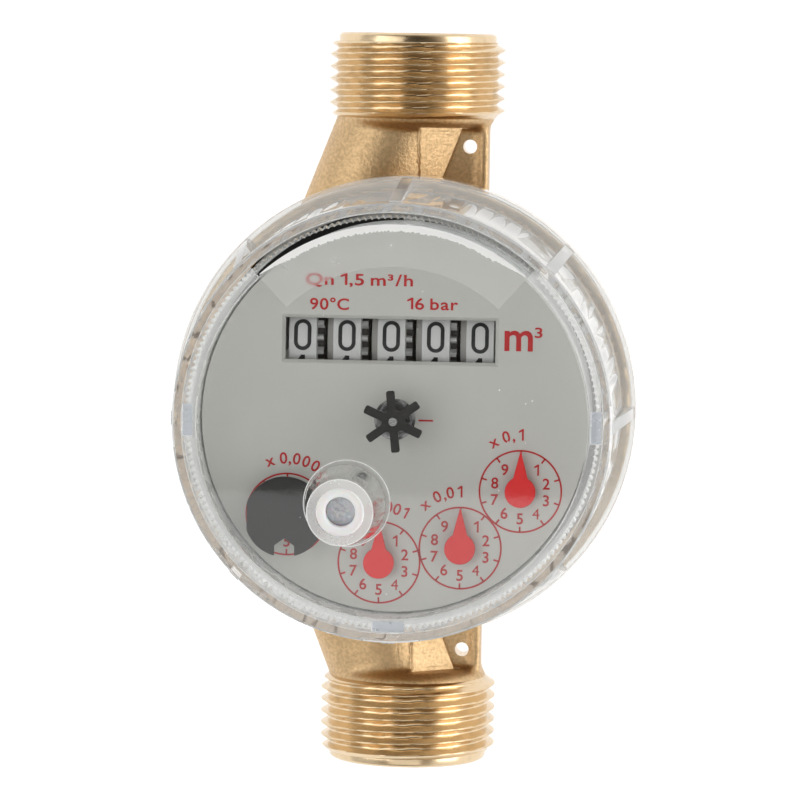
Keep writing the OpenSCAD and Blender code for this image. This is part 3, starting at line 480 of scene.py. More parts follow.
def skin_material(name, colour, gloss, drift=0.06, scale=900.0, bump=0.05, distance=0.04, **shader):
    """Moulded or printed plastic. shader gives more inputs of the Principled shader."""
    if name in bpy.data.materials:
        return bpy.data.materials[name]
    made, tree, principled, _ = blank_material(name)
    skin = place_group(tree, "moulded_skin", {
        "Colour": rgba(colour), "Drift": drift, "Scale": scale, "Gloss": gloss})
    wear(tree, principled, skin, bump, distance)
    fill(tree, principled, {key.replace("_", " "): value for key, value in shader.items()})
    return made


def metal_material(name, skin_name, values, bump, distance):
    """Brass or steel from one of the metal groups."""
    if name in bpy.data.materials:
        return bpy.data.materials[name]
    made, tree, principled, _ = blank_material(name)
    wear(tree, principled, place_group(tree, skin_name, values), bump, distance)
    principled.inputs["Metallic"].default_value = 1.0
    return made


def cast_brass(look):
    """Sand-cast brass of the cup and the necks."""
    colour = look.cast_colour
    return metal_material("brass_casting", "cast_skin", {
        "Colour": rgba(colour), "Pit colour": rgba(colour, 0.55), "Scale": 2000.0}, 0.7, 0.15)


def turned_brass(look):
    """Machined brass of the threads, the rim and the bores."""
    colour = look.turned_colour
    return metal_material("brass_turned", "turned_skin", {
        "Colour": rgba(colour), "Stain": rgba(colour, 0.55), "Lines": 9000.0}, 0.12, 0.02)


def ground_steel():
    """Ground steel of the arbors and the bush."""
    return metal_material("ground_steel", "turned_skin", {
        "Colour": (0.62, 0.63, 0.64, 1), "Stain": (0.4, 0.4, 0.4, 1), "Lines": 7000.0}, 0.1, 0.02)


def hand_black():
    """Black plastic of the disc, the star and the transfer pinions."""
    return skin_material("hand_black", (0.013, 0.013, 0.013), 0.5, 0.2, 1800.0)


def clear_plastic(look, name, roughness=0.02, specks=420.0, colour=None):
    """Clear plastic that lets lamps light what is under it."""
    if name in bpy.data.materials:
        return bpy.data.materials[name]
    made, tree, principled, out = blank_material(name)
    skin = place_group(tree, "moulded_skin", {
        "Colour": rgba(colour or look.clear_colour), "Drift": 0.02, "Scale": 260.0,
        "Gloss": roughness})
    wear(tree, principled, skin, 0.03, 0.05)
    dust = place_group(tree, "fine_specks", {"Scale": specks, "Amount": 0.05})
    dusty = math_node(tree, "MULTIPLY", dust.outputs["Mask"], 0.5)
    clean = ramp(tree, skin.outputs["Height"], 0.3, 0.7, 0.6 * roughness, 1.4 * roughness)
    fill(tree, principled, {
        "Roughness": math_node(tree, "MAXIMUM", clean, dusty), "Transmission Weight": 1.0,
        "IOR": look.ior})
    path = add(tree, "ShaderNodeLightPath")
    open_shade = add(tree, "ShaderNodeBsdfTransparent", {"Color": (0.93, 0.935, 0.93, 1)})
    both = add(tree, "ShaderNodeMixShader", {
        0: path.outputs["Is Shadow Ray"], 1: principled.outputs[0], 2: open_shade.outputs[0]})
    tree.links.new(both.outputs[0], out.inputs["Surface"])
    return made


# Each milky plastic: the share of light it lets through, its roughness and any tint of its own,
# apart from the tab floors' blue-grey, which is painted shade
MILKY = {
    "lens_teeth": (0.05, 0.35, (0.99, 0.99, 0.99)),
    "pad_teeth": (0.85, 0.1),
    "lens_satin": (0.86, 0.2),
    "port_mouth": (0.45, 0.25),
    "lens_wall": (0.3, 0.3),
    "pad_grain": (0.25, 0.5),
    "ring_milky": (0.74, 0.03),
    # Blue-grey tint: painted shade on the floors of the snap ring's tab recesses
    "tab_floor": (0.45, 0.3, (0.62, 0.66, 0.72)),
    "ring_lip": (0.82, 0.06),
    "ring_under": (0.3, 0.35),
    # White for the thin rings at the port's edges: painted highlights
    "edge_white": (0.1, 0.3),
}


def milky_plastic(look, name):
    """Plastic between clear and white."""
    share, roughness, *tint = MILKY[name]
    made = clear_plastic(look, name, roughness, 380.0, *tint)
    made.node_tree.nodes["Principled BSDF"].inputs["Transmission Weight"].default_value = share
    return made


def dress(name, material):
    """Gives a CAD node one material."""
    slots = NODES[name].data.materials
    slots.clear()
    slots.append(material)


# ---------------------------------------------------------------- brass body


# Profiles of (radius, height) about the dial's axis
CUP = [(0, 0), (22, 0), (25.2, 3), (25.2, 18.2), (32.6, 23.2), (32.6, 29.6), (33.4, 30.2),
       (33.4, RIM_TOP), (0, RIM_TOP)]
CHAMBER = [(0, 5), (21.5, 5), (21.5, 25), (30.6, 25), (30.6, 35), (0, 35)]
PIN_HOLE = [(0, 3), (1.02, 3), (1.02, 6), (0, 6)]
# Profile of the collar behind a thread, about the pipe's axis
COLLAR = [(0, -1.7), (9.4, -1.7), (10.4, -1.35), (11.3, -0.95), (11.92, -0.45),
          (11.92, 0.4), (0, 0.4)]
# Seal web beside a neck, and the thicker bar along its outer edge
WEB_START, WEB_END, WEB_X, BAR_X = 12, THREAD_Y + 0.3, 11, 9.8
WEB_T, BAR_T = 5, 6.6
WIRE_X, WIRE_Y = 8.23, THREAD_Y - 4.5
WIRE_HOLE = [(0, 5), (1.05, 5), (1.05, 25), (0, 25)]
# Section of the parting ridge, in shares of its width and in heights above the neck
RIDGE = [(-0.5, -2), (-0.5, 0.0), (-0.3, 0.11), (-0.12, 0.11), (0.0, 0.03), (0.12, 0.09),
         (0.3, 0.09), (0.5, -0.1), (0.5, -2)]
RIDGE_WIDTH = 0.8
PARTING_X = 0.8
# Places of the finishes in the body's material list, and where the turned rim starts
CAST, TURNED = 0, 1
TURNED_R, TURNED_LOW = 32.2, 29.4


def neck_axes(side):
    """Frame of a slanting neck: its Z runs from the pipe axis to the jet, X to the right, Y up."""
    axes = Matrix.Rotation(-NECK_ANGLE, 4, "Z") @ Matrix.Rotation(math.radians(90), 4, "X")
    if side < 0:
        axes = Matrix.Diagonal((1, -1, 1, 1)) @ axes
    return Matrix.Translation(mm(0, side * (END_Y - NECK_CROSS), PIPE_Z)) @ axes


def pipe_axes(side):
    """Frame at the start of a thread, on the pipe axis, with Z pointing out of that end."""
    turn = Matrix.Rotation(math.radians(-90 * side), 4, "X")
    return Matrix.Translation((0, side * THREAD_Y * MM, PIPE_Z * MM)) @ turn


def neck_at(y, least):
    """How far a neck lies to the left at y, and its height at the parting line.

    least is the smallest square of that height.
    """
    reach = (END_Y - NECK_CROSS - y) * math.tan(NECK_ANGLE)
    off = (PARTING_X + reach) * math.cos(NECK_ANGLE)
    return reach, math.sqrt(max(NECK_R ** 2 - off ** 2, least))


def oblong(x0, x1, y0, y1):
    """Corners of a rectangle."""
    return [(x0, y0), (x1, y0), (x1, y1), (x0, y1)]


def casting_blank(look):
    """Casting before machining: cup, necks, collars and webs, run together with soft corners."""
    bm = bmesh.new()
    revolve(bm, CUP, 160)
    for side in (1, -1):
        revolve(bm, [(0, -2), (NECK_R, -2), (NECK_R, NECK_L), (0, NECK_L)], 72, neck_axes(side))
        revolve(bm, COLLAR, 96, pipe_axes(side))
        flip = Matrix.Diagonal((1, side, 1, 1))
        for x, thick in ((0, WEB_T), (BAR_X, BAR_T)):
            prism(bm, oblong(x, WEB_X, WEB_START, WEB_END), thick, flip, PIPE_Z - thick / 2)
    made = from_bmesh("casting", bm)
    step = made.modifiers.new("skin", "REMESH")
    step.mode = "VOXEL"
    step.voxel_size = look.voxel
    soft = made.modifiers.new("soft corners", "SMOOTH")
    soft.factor = 0.5
    soft.iterations = 7
    bake_modifiers(made)
    mesh = made.data
    normals = [n.vector.copy() for n in mesh.vertex_normals]
    places = []
    fine, coarse, sand_r, rim_share = 900, 420, 32, 0.2
    for v, normal in zip(mesh.vertices, normals):
        grain = noise.noise(v.co * fine) + 0.6 * noise.noise(v.co * coarse)
        sand = 1 if math.hypot(v.co.x, v.co.y) < sand_r * MM else rim_share
        spot = v.co + normal * grain * look.grain * sand
        places += (spot.x, spot.y, min(max(spot.z, 0.0), RIM_TOP * MM))
    mesh.vertices.foreach_set("co", places)
    return made


def thread_solid(look, side):
    """Threaded end with its chamfers and the plain ring beyond the thread, as a closed solid."""
    pitch, crest, root = look.pitch / MM, look.crest_radius / MM, look.root_radius / MM
    plain_end, chamfer, least = 1.3, 0.7, 11.9
    root_flat, flank = 0.14, 0.78
    length = END_Y - THREAD_Y - plain_end
    per_pitch, around = 20, 144
    count = int(length / pitch * per_pitch)
    bm = bmesh.new()
    axes = pipe_axes(side)
    rows = []

    def ring(radius_at, h):
        spots = [polar(radius_at(t), t) for t in turns(around)]
        rows.append([bm.verts.new(axes @ mm(x, y, h)) for x, y in spots])

    def thread_radius(t, h):
        phase = (h / pitch - t / (2 * math.pi)) % 1.0
        tri = 1 - abs(2 * phase - 1)
        rise = min(max((tri - root_flat) / flank, 0.0), 1.0)
        r = root + (crest - root) * rise
        run_in = crest - chamfer + max(h, 0.0)
        run_out = crest - chamfer + (length - h)
        return max(min(r, run_in, run_out), least)

    ring(lambda t: 10.5, -0.6)
    ring(lambda t: 11.8, -0.3)
    for k in range(count + 1):
        h = length * k / count
        ring(lambda t: thread_radius(t, h), h)
    for r, beyond in ((11.85, 0.02), (11.85, 0.85), (11.75, 1.05), (11.35, plain_end)):
        ring(lambda t: r, length + beyond)
    loft(bm, rows)
    return from_bmesh("thread_blank", bm)


def neck_flank(side, above=False):
    """Flat flank from the parting line down to the web, or the solid that cuts the neck to it."""
    bm = bmesh.new()
    first, last = 26.2, THREAD_Y - 1.6 if above else THREAD_Y + 0.2
    low, spread, over, steps = 3.2, 9.6, 6, 32
    rows = []
    for k in range(steps + 1):
        y = first + (last - first) * k / steps
        reach, top = neck_at(y, 10.5)
        foot = spread / math.cos(NECK_ANGLE) - reach
        if above:
            outline = [(PARTING_X, top), (foot, low), (foot + 1, low), (foot + 1, top + over),
                       (PARTING_X, top + over)]
        else:
            outline = [(PARTING_X, -top), (PARTING_X, top), (foot, low), (foot, -low)]
        rows.append([bm.verts.new(mm(x, side * y, PIPE_Z + z)) for x, z in outline])
    loft(bm, rows)
    bmesh.ops.triangulate(bm, faces=bm.faces)
    return from_bmesh("neck_flank", bm)


def parting_ridge(side):
    """Thin ridge that the mould's parting line leaves along the top and the bottom of a neck."""
    bm = bmesh.new()
    first, last, steps = 26, THREAD_Y - 1.0, 40
    for up in (1, -1):
        rows = []
        for k in range(steps + 1):
            y = first + (last - first) * k / steps
            top = neck_at(y, 1.0)[1]
            wobble = 0.06 * math.sin(2.1 * k) + 0.05 * math.sin(0.7 * k + 1)
            section = [(PARTING_X + u * RIDGE_WIDTH + wobble, top + v) for u, v in RIDGE]
            rows.append([bm.verts.new(mm(x, side * y, PIPE_Z + up * z)) for x, z in section])
        loft(bm, rows)
    return from_bmesh("parting_ridge", bm)


def machining_cuts():
    """Closed solids of all that the machining takes away from the casting."""
    def turned(profile, segments, axes=Matrix.Identity(4)):
        bm = bmesh.new()
        revolve(bm, profile, segments, axes)
        return from_bmesh("cut", bm)

    yield turned(CHAMBER, 128)
    yield turned(PIN_HOLE, 32)
    end = END_Y - THREAD_Y
    floor, mouth_r = end - 7.7, 7.5
    step, strainer_r = end - 6.8, 8.62
    for side in (1, -1):
        mouth = [(0, floor), (mouth_r, floor), (mouth_r, end + 1), (0, end + 1)]
        if side > 0:
            mouth[2:3] = [(mouth_r, step), (strainer_r, step), (strainer_r, end + 1)]
        yield turned(mouth, 96, pipe_axes(side))
        bore = [(0, 0), (NECK_BORE_R, 0), (NECK_BORE_R, NECK_L), (0, NECK_L)]
        yield turned(bore, 72, neck_axes(side))
        yield turned(WIRE_HOLE, 48, Matrix.Translation(mm(WIRE_X, side * WIRE_Y, 0)))


class METER_OT_brass_body(bpy.types.Operator):
    """Makes the brass body: casting, threads, parting ridges and machined bores"""

    bl_idname = "meter.brass_body"
    bl_label = "Brass body"

    def execute(self, context):
        look = context.scene.meter_brass
        body = casting_blank(look)
        finishes = (cast_brass(look), turned_brass(look))

        def finish(made, index):
            made.data.materials.clear()
            for material in finishes:
                made.data.materials.append(material)
            made.data.polygons.foreach_set("material_index", [index] * len(made.data.polygons))

        def work(tool, index, operation):
            finish(tool, index)
            combine(body, tool, operation)

        finish(body, CAST)
        for side in (1, -1):
            bm = bmesh.new()
            flip = Matrix.Diagonal((1, side, 1, 1))
            prism(bm, oblong(-20, 20, THREAD_Y, END_Y + 5), 40, flip, -2)
            work(from_bmesh("stub", bm), TURNED, "DIFFERENCE")
            work(neck_flank(side, above=True), CAST, "DIFFERENCE")
            work(neck_flank(side), CAST, "UNION")
            work(thread_solid(look, side), TURNED, "UNION")
            work(parting_ridge(side), CAST, "UNION")
        for cut in machining_cuts():
            work(cut, TURNED, "DIFFERENCE")
        for face in body.data.polygons:
            r, _, z = bearing(face.center)
            if r > TURNED_R and z > TURNED_LOW:
                face.material_index = TURNED
        body.name = "brass_body"
        smooth(body, 38)
        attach(body, "meter")
        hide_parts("body")
        return {"FINISHED"}


# ---------------------------------------------------------------- dial print


GLYPHS = {}
# Height of the font's capitals at size 1
CAP_HEIGHT = 0.73
# Outline of a plain one with a flag, for capitals of height 1
ONE = ((0.27, 0), (0.43, 0), (0.43, 1), (0.30, 1), (0, 0.80), (0, 0.66), (0.27, 0.76))
ONE_FACES = [(0, 1, 2, 3, 6), (3, 4, 5, 6)]


def glyph(char):
    """Flat mesh of a character for capitals of height 1: vertices from x = 0, faces and width."""
    if char not in GLYPHS:
        if char == "1":
            verts, faces = [Vector(v) for v in ONE], ONE_FACES
        else:
            curve = bpy.data.curves.new("letter", "FONT")
            curve.body = char
            curve.resolution_u = 6
            curve.offset = 0.0 if char == "4" else 0.016  # bolder, apart from the four
            made = put("letter", curve)
            mesh = evaluated_copy(made)
            bpy.data.objects.remove(made)
            bpy.data.curves.remove(curve)
            verts = [v.co.xy / CAP_HEIGHT for v in mesh.vertices]
            faces = [tuple(p.vertices) for p in mesh.polygons]
            bpy.data.meshes.remove(mesh)
        left = min(v.x for v in verts)
        verts = [Vector((v.x - left, v.y)) for v in verts]
        GLYPHS[char] = verts, faces, max(v.x for v in verts)
    return GLYPHS[char]


def glyphs(text, height):
    """Flat mesh of a text with capitals of a height, from x = 0."""
    space, gap = 0.30, 0.12
    verts, faces, x = [], [], 0.0
    for char in text:
        if char == " ":
            x += space
            continue
        shape, sides, width = glyph(char)
        faces += [tuple(i + len(verts) for i in f) for f in sides]
        verts += [Vector((v.x + x, v.y)) * height for v in shape]
        x += width + gap
    return verts, faces


def ink(bm, verts, faces, place, thickness=0.03 * MM):
    """Adds a flat print to a bmesh as a thin closed solid, set down by place(x, y, height)."""
    flat = bmesh.new()
    points = [flat.verts.new((v[0], v[1], 0)) for v in verts]
    for f in faces:
        try:
            flat.faces.new([points[i] for i in f])
        except ValueError:  # a face that is already there
            continue
    bmesh.ops.remove_doubles(flat, verts=flat.verts, dist=1e-7)
    low = {v: bm.verts.new(place(v.co.x, v.co.y, 0.0)) for v in flat.verts}
    high = {v: bm.verts.new(place(v.co.x, v.co.y, thickness)) for v in flat.verts}
    for f in flat.faces:
        bm.faces.new([high[v] for v in f.verts])
        bm.faces.new([low[v] for v in reversed(f.verts)])
    for e in flat.edges:
        if len(e.link_faces) == 1:
            a, b = e.verts
            bm.faces.new([low[a], low[b], high[b], high[a]])
    flat.free()


def on_dial(origin, turn=0.0):
    """Placer on the dial plate, at a point and turned by an angle in radians."""
    x0, y0, z0 = origin[0] * MM, origin[1] * MM, DIAL_TOP * MM
    c, s = math.cos(turn), math.sin(turn)

    def place(x, y, h):
        return Vector((x0 + c * x - s * y, y0 + s * x + c * y, z0 + h))
    return place


def word(bm, text, height, origin, turn=0.0, middle=False, box=None):
    """Prints a word by its left end or its middle on the baseline. box is its width and height."""
    verts, faces = glyphs(text, height)
    right = max(v.x for v in verts)
    wide, tall = 1.0, 1.0
    if box:
        wide = box[0] * MM / right
        tall = box[1] * MM / max(v.y for v in verts) if len(box) > 1 else 1.0
    base = right / 2 if middle else 0.0
    ink(bm, [((v.x - base) * wide, v.y * tall) for v in verts], faces, on_dial(origin, turn))


def circle(bm, centre, radius, width, steps=96):
    """Prints a circle."""
    verts = [polar(r, a) for a in turns(steps) for r in (radius - width / 2, radius + width / 2)]
    after = [(i + 1) % steps for i in range(steps)]
    faces = [(2 * i, 2 * i + 1, 2 * j + 1, 2 * j) for i, j in enumerate(after)]
    ink(bm, verts, faces, on_dial(centre))


def dash(bm, start, end, width):
    """Prints a straight line between two points."""
    along = mm(end[0] - start[0], end[1] - start[1])
    half = width / 2
    verts = [(0, -half), (along.length, -half), (along.length, half), (0, half)]
    ink(bm, verts, [(0, 1, 2, 3)], on_dial(start, math.atan2(along.y, along.x)))


# Characters of each multiplier and the angle of each one round its pointer, in degrees
MULTIPLIERS = {
    1: [("x", 119.5), ("0", 105.5), (",", 98), ("1", 90)],
    2: [("x", 130), ("0", 115), (",", 107.5), ("0", 101), ("1", 91)],
    3: [("x", 119), ("0", 104), (",", 97), ("0", 90.5), ("0", 81), ("0", 72), ("1", 63)],
    4: [("x", 108.6), ("0", 94.3), (",", 87.5), ("0", 80.7), ("0", 70.6), ("0", 60.2), ("1", 50.5)],
}
# Stretch of the dial that holds the number window
WINDOW_X, WINDOW_Y = 17, (7, 15.5)
MULTIPLIER_R = 7.3
SCALE_DIGIT_R = 3.87
TICK = 0.8


class METER_OT_dial_print(bpy.types.Operator):
    """Prints the dial: scales, multipliers, units and ratings"""

    bl_idname = "meter.dial_print"
    bl_label = "Dial print"

    def execute(self, context):
        look = context.scene.meter_dial
        bm = bmesh.new()
        ring, high = look.ring_radius / MM, look.word_height
        for number, at in POINTERS.items():
            def spot(radius, angle):
                x, y = polar(radius, angle)
                return at[0] + x, at[1] + y

            circle(bm, at, look.ring_radius, look.line)
            for k in range(10):
                a = math.radians(90 - 36 * k)
                dash(bm, spot(ring, a), spot(ring - TICK, a), look.line)
                if k:
                    x, y = spot(SCALE_DIGIT_R, a)
                    y -= look.digit_height / MM / 2
                    word(bm, str(k), look.digit_height, (x, y), middle=True)
            for text, angle in MULTIPLIERS[number]:
                a = math.radians(angle)
                word(bm, text, high, spot(MULTIPLIER_R, a), a - math.pi / 2, middle=True)
        word(bm, "Qn 1,5 m³/h", high, (-13.0, 19.1), box=(15.3,))
        word(bm, "90°C", high, (-12.4, 15.55), box=(5.6,))
        word(bm, "16 bar", high, (1.5, 15.8), box=(7.3,))
        word(bm, "m", 3.3 * MM, (15.5, 10.2), box=(4.05, 2.85))
        word(bm, "3", 1.45 * MM, (19.8, 12.1), box=(1.1, 1.45))
        dash(bm, (3.4, -0.1), (5.5, -0.1), look.line)
        made = from_bmesh("dial_print", bm)
        made.data.materials.append(skin_material("red_ink", look.ink_colour, 0.5, 0.15, 2600.0))
        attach(made, "meter")

        def window_edge(a, b):
            at_top = min(a.z, b.z) > (DIAL_TOP - 0.01) * MM
            return at_top and all(
                abs(v.x) < WINDOW_X * MM and within(v.y / MM, WINDOW_Y) for v in (a, b))

        paint = skin_material("dial_paint", look.dial_colour, 0.55, 0.05, 3000.0, 0.1)
        plate = soft_copy(
            "dial_plate", "dial", 0.45, "meter", only=window_edge, segments=1)
        plate.data.materials.append(paint)
        dress("star_bush", ground_steel())
        return {"FINISHED"}


# ---------------------------------------------------------------- drums


def on_drum(x, angle):
    """Placer on a drum's face, with up along its turn. angle is from the drum's top, in radians."""
    y0, z0 = DRUM_AXIS

    def place(u, v, h):
        a = angle + v / (DRUM_R * MM)
        r = DRUM_R * MM + h
        return Vector((x * MM + u, y0 * MM + r * math.sin(a), z0 * MM + r * math.cos(a)))
    return place


def drum_zero(width, height, stroke):
    """A narrow zero with rounded ends. Its sides are in short steps to follow the drum."""
    arc_steps, side_steps = 12, 8

    def loop(w, h):
        r = w / 2
        points = []
        for cy, start in ((h / 2 - r, 0), (-h / 2 + r, 180)):
            for k in range(arc_steps + 1):
                x, y = polar(r, math.radians(start + 180 * k / arc_steps))
                points.append((x, cy + y))
            side = -r if cy > 0 else r
            points += [(side, cy - 2 * cy * k / side_steps) for k in range(1, side_steps)]
        return points

    outer, inner = loop(width, height), loop(width - 2 * stroke, height - 2 * stroke)
    count = len(outer)
    after = [(i + 1) % count for i in range(count)]
    return outer + inner, [(i, j, count + j, count + i) for i, j in enumerate(after)]


def drum_one(height):
    """A one with a flag. Its bar is in short steps to follow the drum."""
    left, right, tip, steps = -0.28 * MM, 0.34 * MM, -1.1 * MM, 8
    verts = []
    for k in range(steps + 1):
        y = -height / 2 + height * k / steps
        verts += [(left, y), (right, y)]
    faces = [(n, n + 1, n + 3, n + 2) for n in range(0, 2 * steps, 2)]
    n = len(verts)
    for x, drop in ((left, 0.15), (tip, 1.15), (tip, 1.75), (left, 1.2)):
        verts.append((x, height / 2 - drop * MM))
    return verts, faces + [(n, n + 1, n + 2, n + 3)]


def drum_digit(digit):
    """Flat mesh of a digit for the drums, about its middle."""
    if digit == 0:
        return drum_zero(width=2.5 * MM, height=4.5 * MM, stroke=0.55 * MM)
    if digit == 1:
        return drum_one(height=4.6 * MM)
    height, widest = 4.2 * MM, 2.5 * MM
    verts, faces = glyphs(str(digit), height)
    right = max(v.x for v in verts)
    squeeze = min(1.0, widest / right)
    return [((v.x - right / 2) * squeeze, v.y - height / 2) for v in verts], faces


class METER_OT_drum_digits(bpy.types.Operator):
    """Puts the digits 0 to 9 on the number drums and gives the drums their plastic, with painted
    shade on their sides and in their tooth gaps
    """

    bl_idname = "meter.drum_digits"
    bl_label = "Drum digits"

    def execute(self, context):
        look = context.scene.meter_dial
        black = skin_material("digit_ink", look.digit_colour, 0.45, 0.2, 3000.0)
        # The face colour is the drums' own plastic; the darker side and notch colours are painted
        # shade, on the drums' sides and in the gaps between the teeth
        plastics = {
            "face": skin_material("drum_plastic", (0.62, 0.63, 0.63), 0.42, 0.05, 1500.0),
            "notch": skin_material("drum_notches", (0.10, 0.095, 0.09), 0.6, 0.15, 1500.0),
            "side": skin_material("drum_sides", (0.34, 0.33, 0.32), 0.5, 0.1, 1500.0),
        }
        first_turn, tooth_height, half_face = 5.5, 1.1, 2.0
        for n in range(1, 6):
            body = "drum_%d" % n
            bm = bmesh.new()
            x = UNITS_X - (n - 1) * DRUM_PITCH
            for digit in range(10):
                verts, faces = drum_digit(digit)
                ink(bm, verts, faces, on_drum(x, math.radians(first_turn - 36 * digit)))
            made = from_bmesh("drum_digits_%d" % n, bm)
            made.data.materials.append(black)
            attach(made, body)
            drum = soft_copy(body, "number_" + body, 0.06, body)
            left, right = (x - half_face) * MM, (x + half_face) * MM

            def reach(c):
                return math.hypot(c.y - DRUM_AXIS[0] * MM, c.z - DRUM_AXIS[1] * MM)

            beyond = [reach(f.center) for f in drum.data.polygons if f.center.x > right]
            root = max(beyond, default=0.0) - tooth_height * MM

            # Faces left of the face get a grey painted shade, and faces in the tooth gaps on the
            # right get a dark painted shade
            def part(c, normal):
                if c.x < left:
                    return "side"
                return "notch" if c.x > right and reach(c) < root else "face"

            paint_faces(drum, plastics, part)
        return {"FINISHED"}


# ---------------------------------------------------------------- hands


class METER_OT_hands(bpy.types.Operator):
    """Finishes the pointers, the pulse disc and the flow star"""

    bl_idname = "meter.hands"
    bl_label = "Pointers, disc and star"

    def execute(self, context):
        look = context.scene.meter_dial
        red = skin_material("pointer_red", look.hand_colour, 0.5, 0.08, 2200.0)
        black = hand_black()
        edge = 0.12
        for n in (1, 2, 3):
            body = "pointer_%d" % n
            hand = soft_copy(body, "red_" + body, edge, body)
            hand.data.materials.append(red)
        disc = soft_copy("pulse_disc", "notched_disc", edge, "pointer_4")
        disc.data.materials.append(black)
        star = soft_copy("star_wheel", "flow_star", edge, "centre")
        star.data.materials.append(black)
        return {"FINISHED"}


# ---------------------------------------------------------------- clear parts


# Stretches of the lens and the snap ring with a finish of their own, in millimetres and degrees. On
# the ring's tabs the finish is painted shade on the recess floor and a painted highlight on its
# walls
PAD_TEETH_TURN = (46, 135)
PAD_TURN, PAD_R, PAD_LOW = (40, 140), 21.9, 62.4
PORT_R, PORT_LOW, MOUTH_LOW = 7, 62.3, LENS_TOP - 0.4
WALL_R, WALL_TOP = (26.8, LENS_R), 60
TAB_TURNS, TAB_SPREAD = (0, 180, 270), 7
TAB_R, TAB_Z = (25.5, 32), (62.0, 62.95)
UNDER_R, UNDER_LOW, LIP_LOW = 29.6, 55, 61


def lens_part(c, normal):
    """Which part of the lens a face belongs to."""
    r, turn, z = bearing(c)
    if r > LENS_R:
        return "pad_teeth" if within(turn, PAD_TEETH_TURN) else "lens_teeth"
    if z > MOUTH_LOW:
        return "port_mouth"
    if z > PAD_LOW and r > PAD_R and within(turn, PAD_TURN):
        return "lens_satin"
    if z > PORT_LOW and (c - mm(*PORT, 0)).xy.length < PORT_R * MM:
        return "port_clear"
    under = normal.z < -0.5 and z < WALL_TOP
    upright = abs(normal.z) < 0.5
    return "lens_wall" if within(r, WALL_R) and (under or upright) else "lens_clear"


def ring_part(c, normal):
    """Which part of the snap ring a face belongs to."""
    r, turn, z = bearing(c)
    off = min(abs((turn - a + 180) % 360 - 180) for a in TAB_TURNS)
    # Tab recess floors get a blue-grey painted shade, and their walls the white of the lens teeth
    # as a painted highlight
    if within(r, TAB_R) and off < TAB_SPREAD and within(z, TAB_Z):
        return "tab_floor" if normal.z > 0.9 else "lens_teeth"
    if normal.z < -0.5 and z > UNDER_LOW and r > UNDER_R:
        return "ring_under"
    return "ring_lip" if normal.z > 0.5 and z > LIP_LOW else "ring_milky"


def pad_edge():
    """Rough white edge of the lens's pad: a thin band with a jagged inner side and tapered ends."""
    first, sweep, steps, outer = 48.6, 83.8, 240, 28.2
    verts = []
    for k in range(steps + 1):
        t = math.radians(first + sweep * k / steps)
        taper = min(1.0, 0.12 + 7.0 * k / steps, 0.12 + 7.0 * (1 - k / steps))
        jag = math.sin(12.9898 * k) * 43758.5453 % 1.0
        for r in (outer - taper * (0.85 + 0.3 * jag), outer):
            verts.append(polar(r * MM, t))
    faces = [(2 * k, 2 * k + 1, 2 * k + 3, 2 * k + 2) for k in range(steps)]
    bm = bmesh.new()
    ink(bm, verts, faces, lambda x, y, h: Vector((x, y, PAD_TOP * MM + h)))
    return from_bmesh("pad_edge", bm)


class METER_OT_clear_parts(bpy.types.Operator):
    """Finishes the lens and the snap ring"""

    bl_idname = "meter.clear_parts"
    bl_label = "Lens and snap ring"

    def execute(self, context):
        look = context.scene.meter_clear

        def milky(*names):
            return {name: milky_plastic(look, name) for name in names}

        plastics = {name: clear_plastic(look, name) for name in ("lens_clear", "port_clear")}
        thin_wall = plastics["port_clear"].node_tree.nodes["Principled BSDF"]
        thin_wall.inputs["IOR"].default_value = 1.18
        plastics.update(milky("lens_teeth", "lens_satin", "lens_wall", "port_mouth", "pad_teeth"))
        lens = soft_copy("lens", "lens_cap", 0.1, "meter", angle=50)
        paint_faces(lens, plastics, lens_part)

        rough = pad_edge()
        rough.data.materials.append(milky_plastic(look, "pad_grain"))
        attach(rough, "meter")

        ring = soft_copy("snap_ring", "clear_ring", 0.15, "meter")
        plastics = milky("ring_milky", "lens_teeth", "tab_floor", "ring_lip", "ring_under")
        paint_faces(ring, plastics, ring_part)
        return {"FINISHED"}


# Radius and height of the edges at the port's foot and mouth, where thin white rings are painted
# highlights
PORT_EDGES = ((6.16, 62.1), (4.62, LENS_TOP - 0.1))


def plug_profile(foot, top):
    """Profile of the port plug with its recess, rounded at the rim."""
    r, recess_r, floor = 3.4, 2.1, top - 2.9
    return [(0, foot), (r - 0.2, foot), (r, foot + 0.2), (r, top - 0.25), (r - 0.07, top - 0.08),
            (r - 0.25, top), (recess_r + 0.25, top), (recess_r + 0.08, top - 0.08),
            (recess_r, top - 0.25), (recess_r, floor), (0, floor)]


def seal_lump(look, axes, foot):
    """Lumpy disc of sealing compound, as a closed solid."""
    bm = bmesh.new()
    radius, rings, spokes = 2.07, 18, 60
    seed = Vector((look.lumps, 2.0 * look.lumps, 0))
    rows = []
    for k in range(1, rings + 1):
        row = []
        for a in turns(spokes):
            spot = Vector((*polar(radius * k / rings, a), 0))
            lump = noise.noise(spot * 1.6 + seed) * 0.55 + noise.noise(spot * 4.2 + seed) * 0.25
            fall = max(0.0, 1 - (k / rings) ** 6)
            z = foot + 0.75 + (0.35 + lump * 0.7) * fall * 0.9
            row.append(bm.verts.new(axes @ mm(spot.x, spot.y, z)))
        rows.append(row)
    tip = bm.verts.new(axes @ mm(0, 0, foot + 1.05))
    base = [bm.verts.new(axes @ mm(*polar(radius, a), foot + 0.12)) for a in turns(spokes)]
    loft(bm, [[tip], *rows, base], capped=False)
    bm.faces.new(base)
    return from_bmesh("seal_compound", bm)


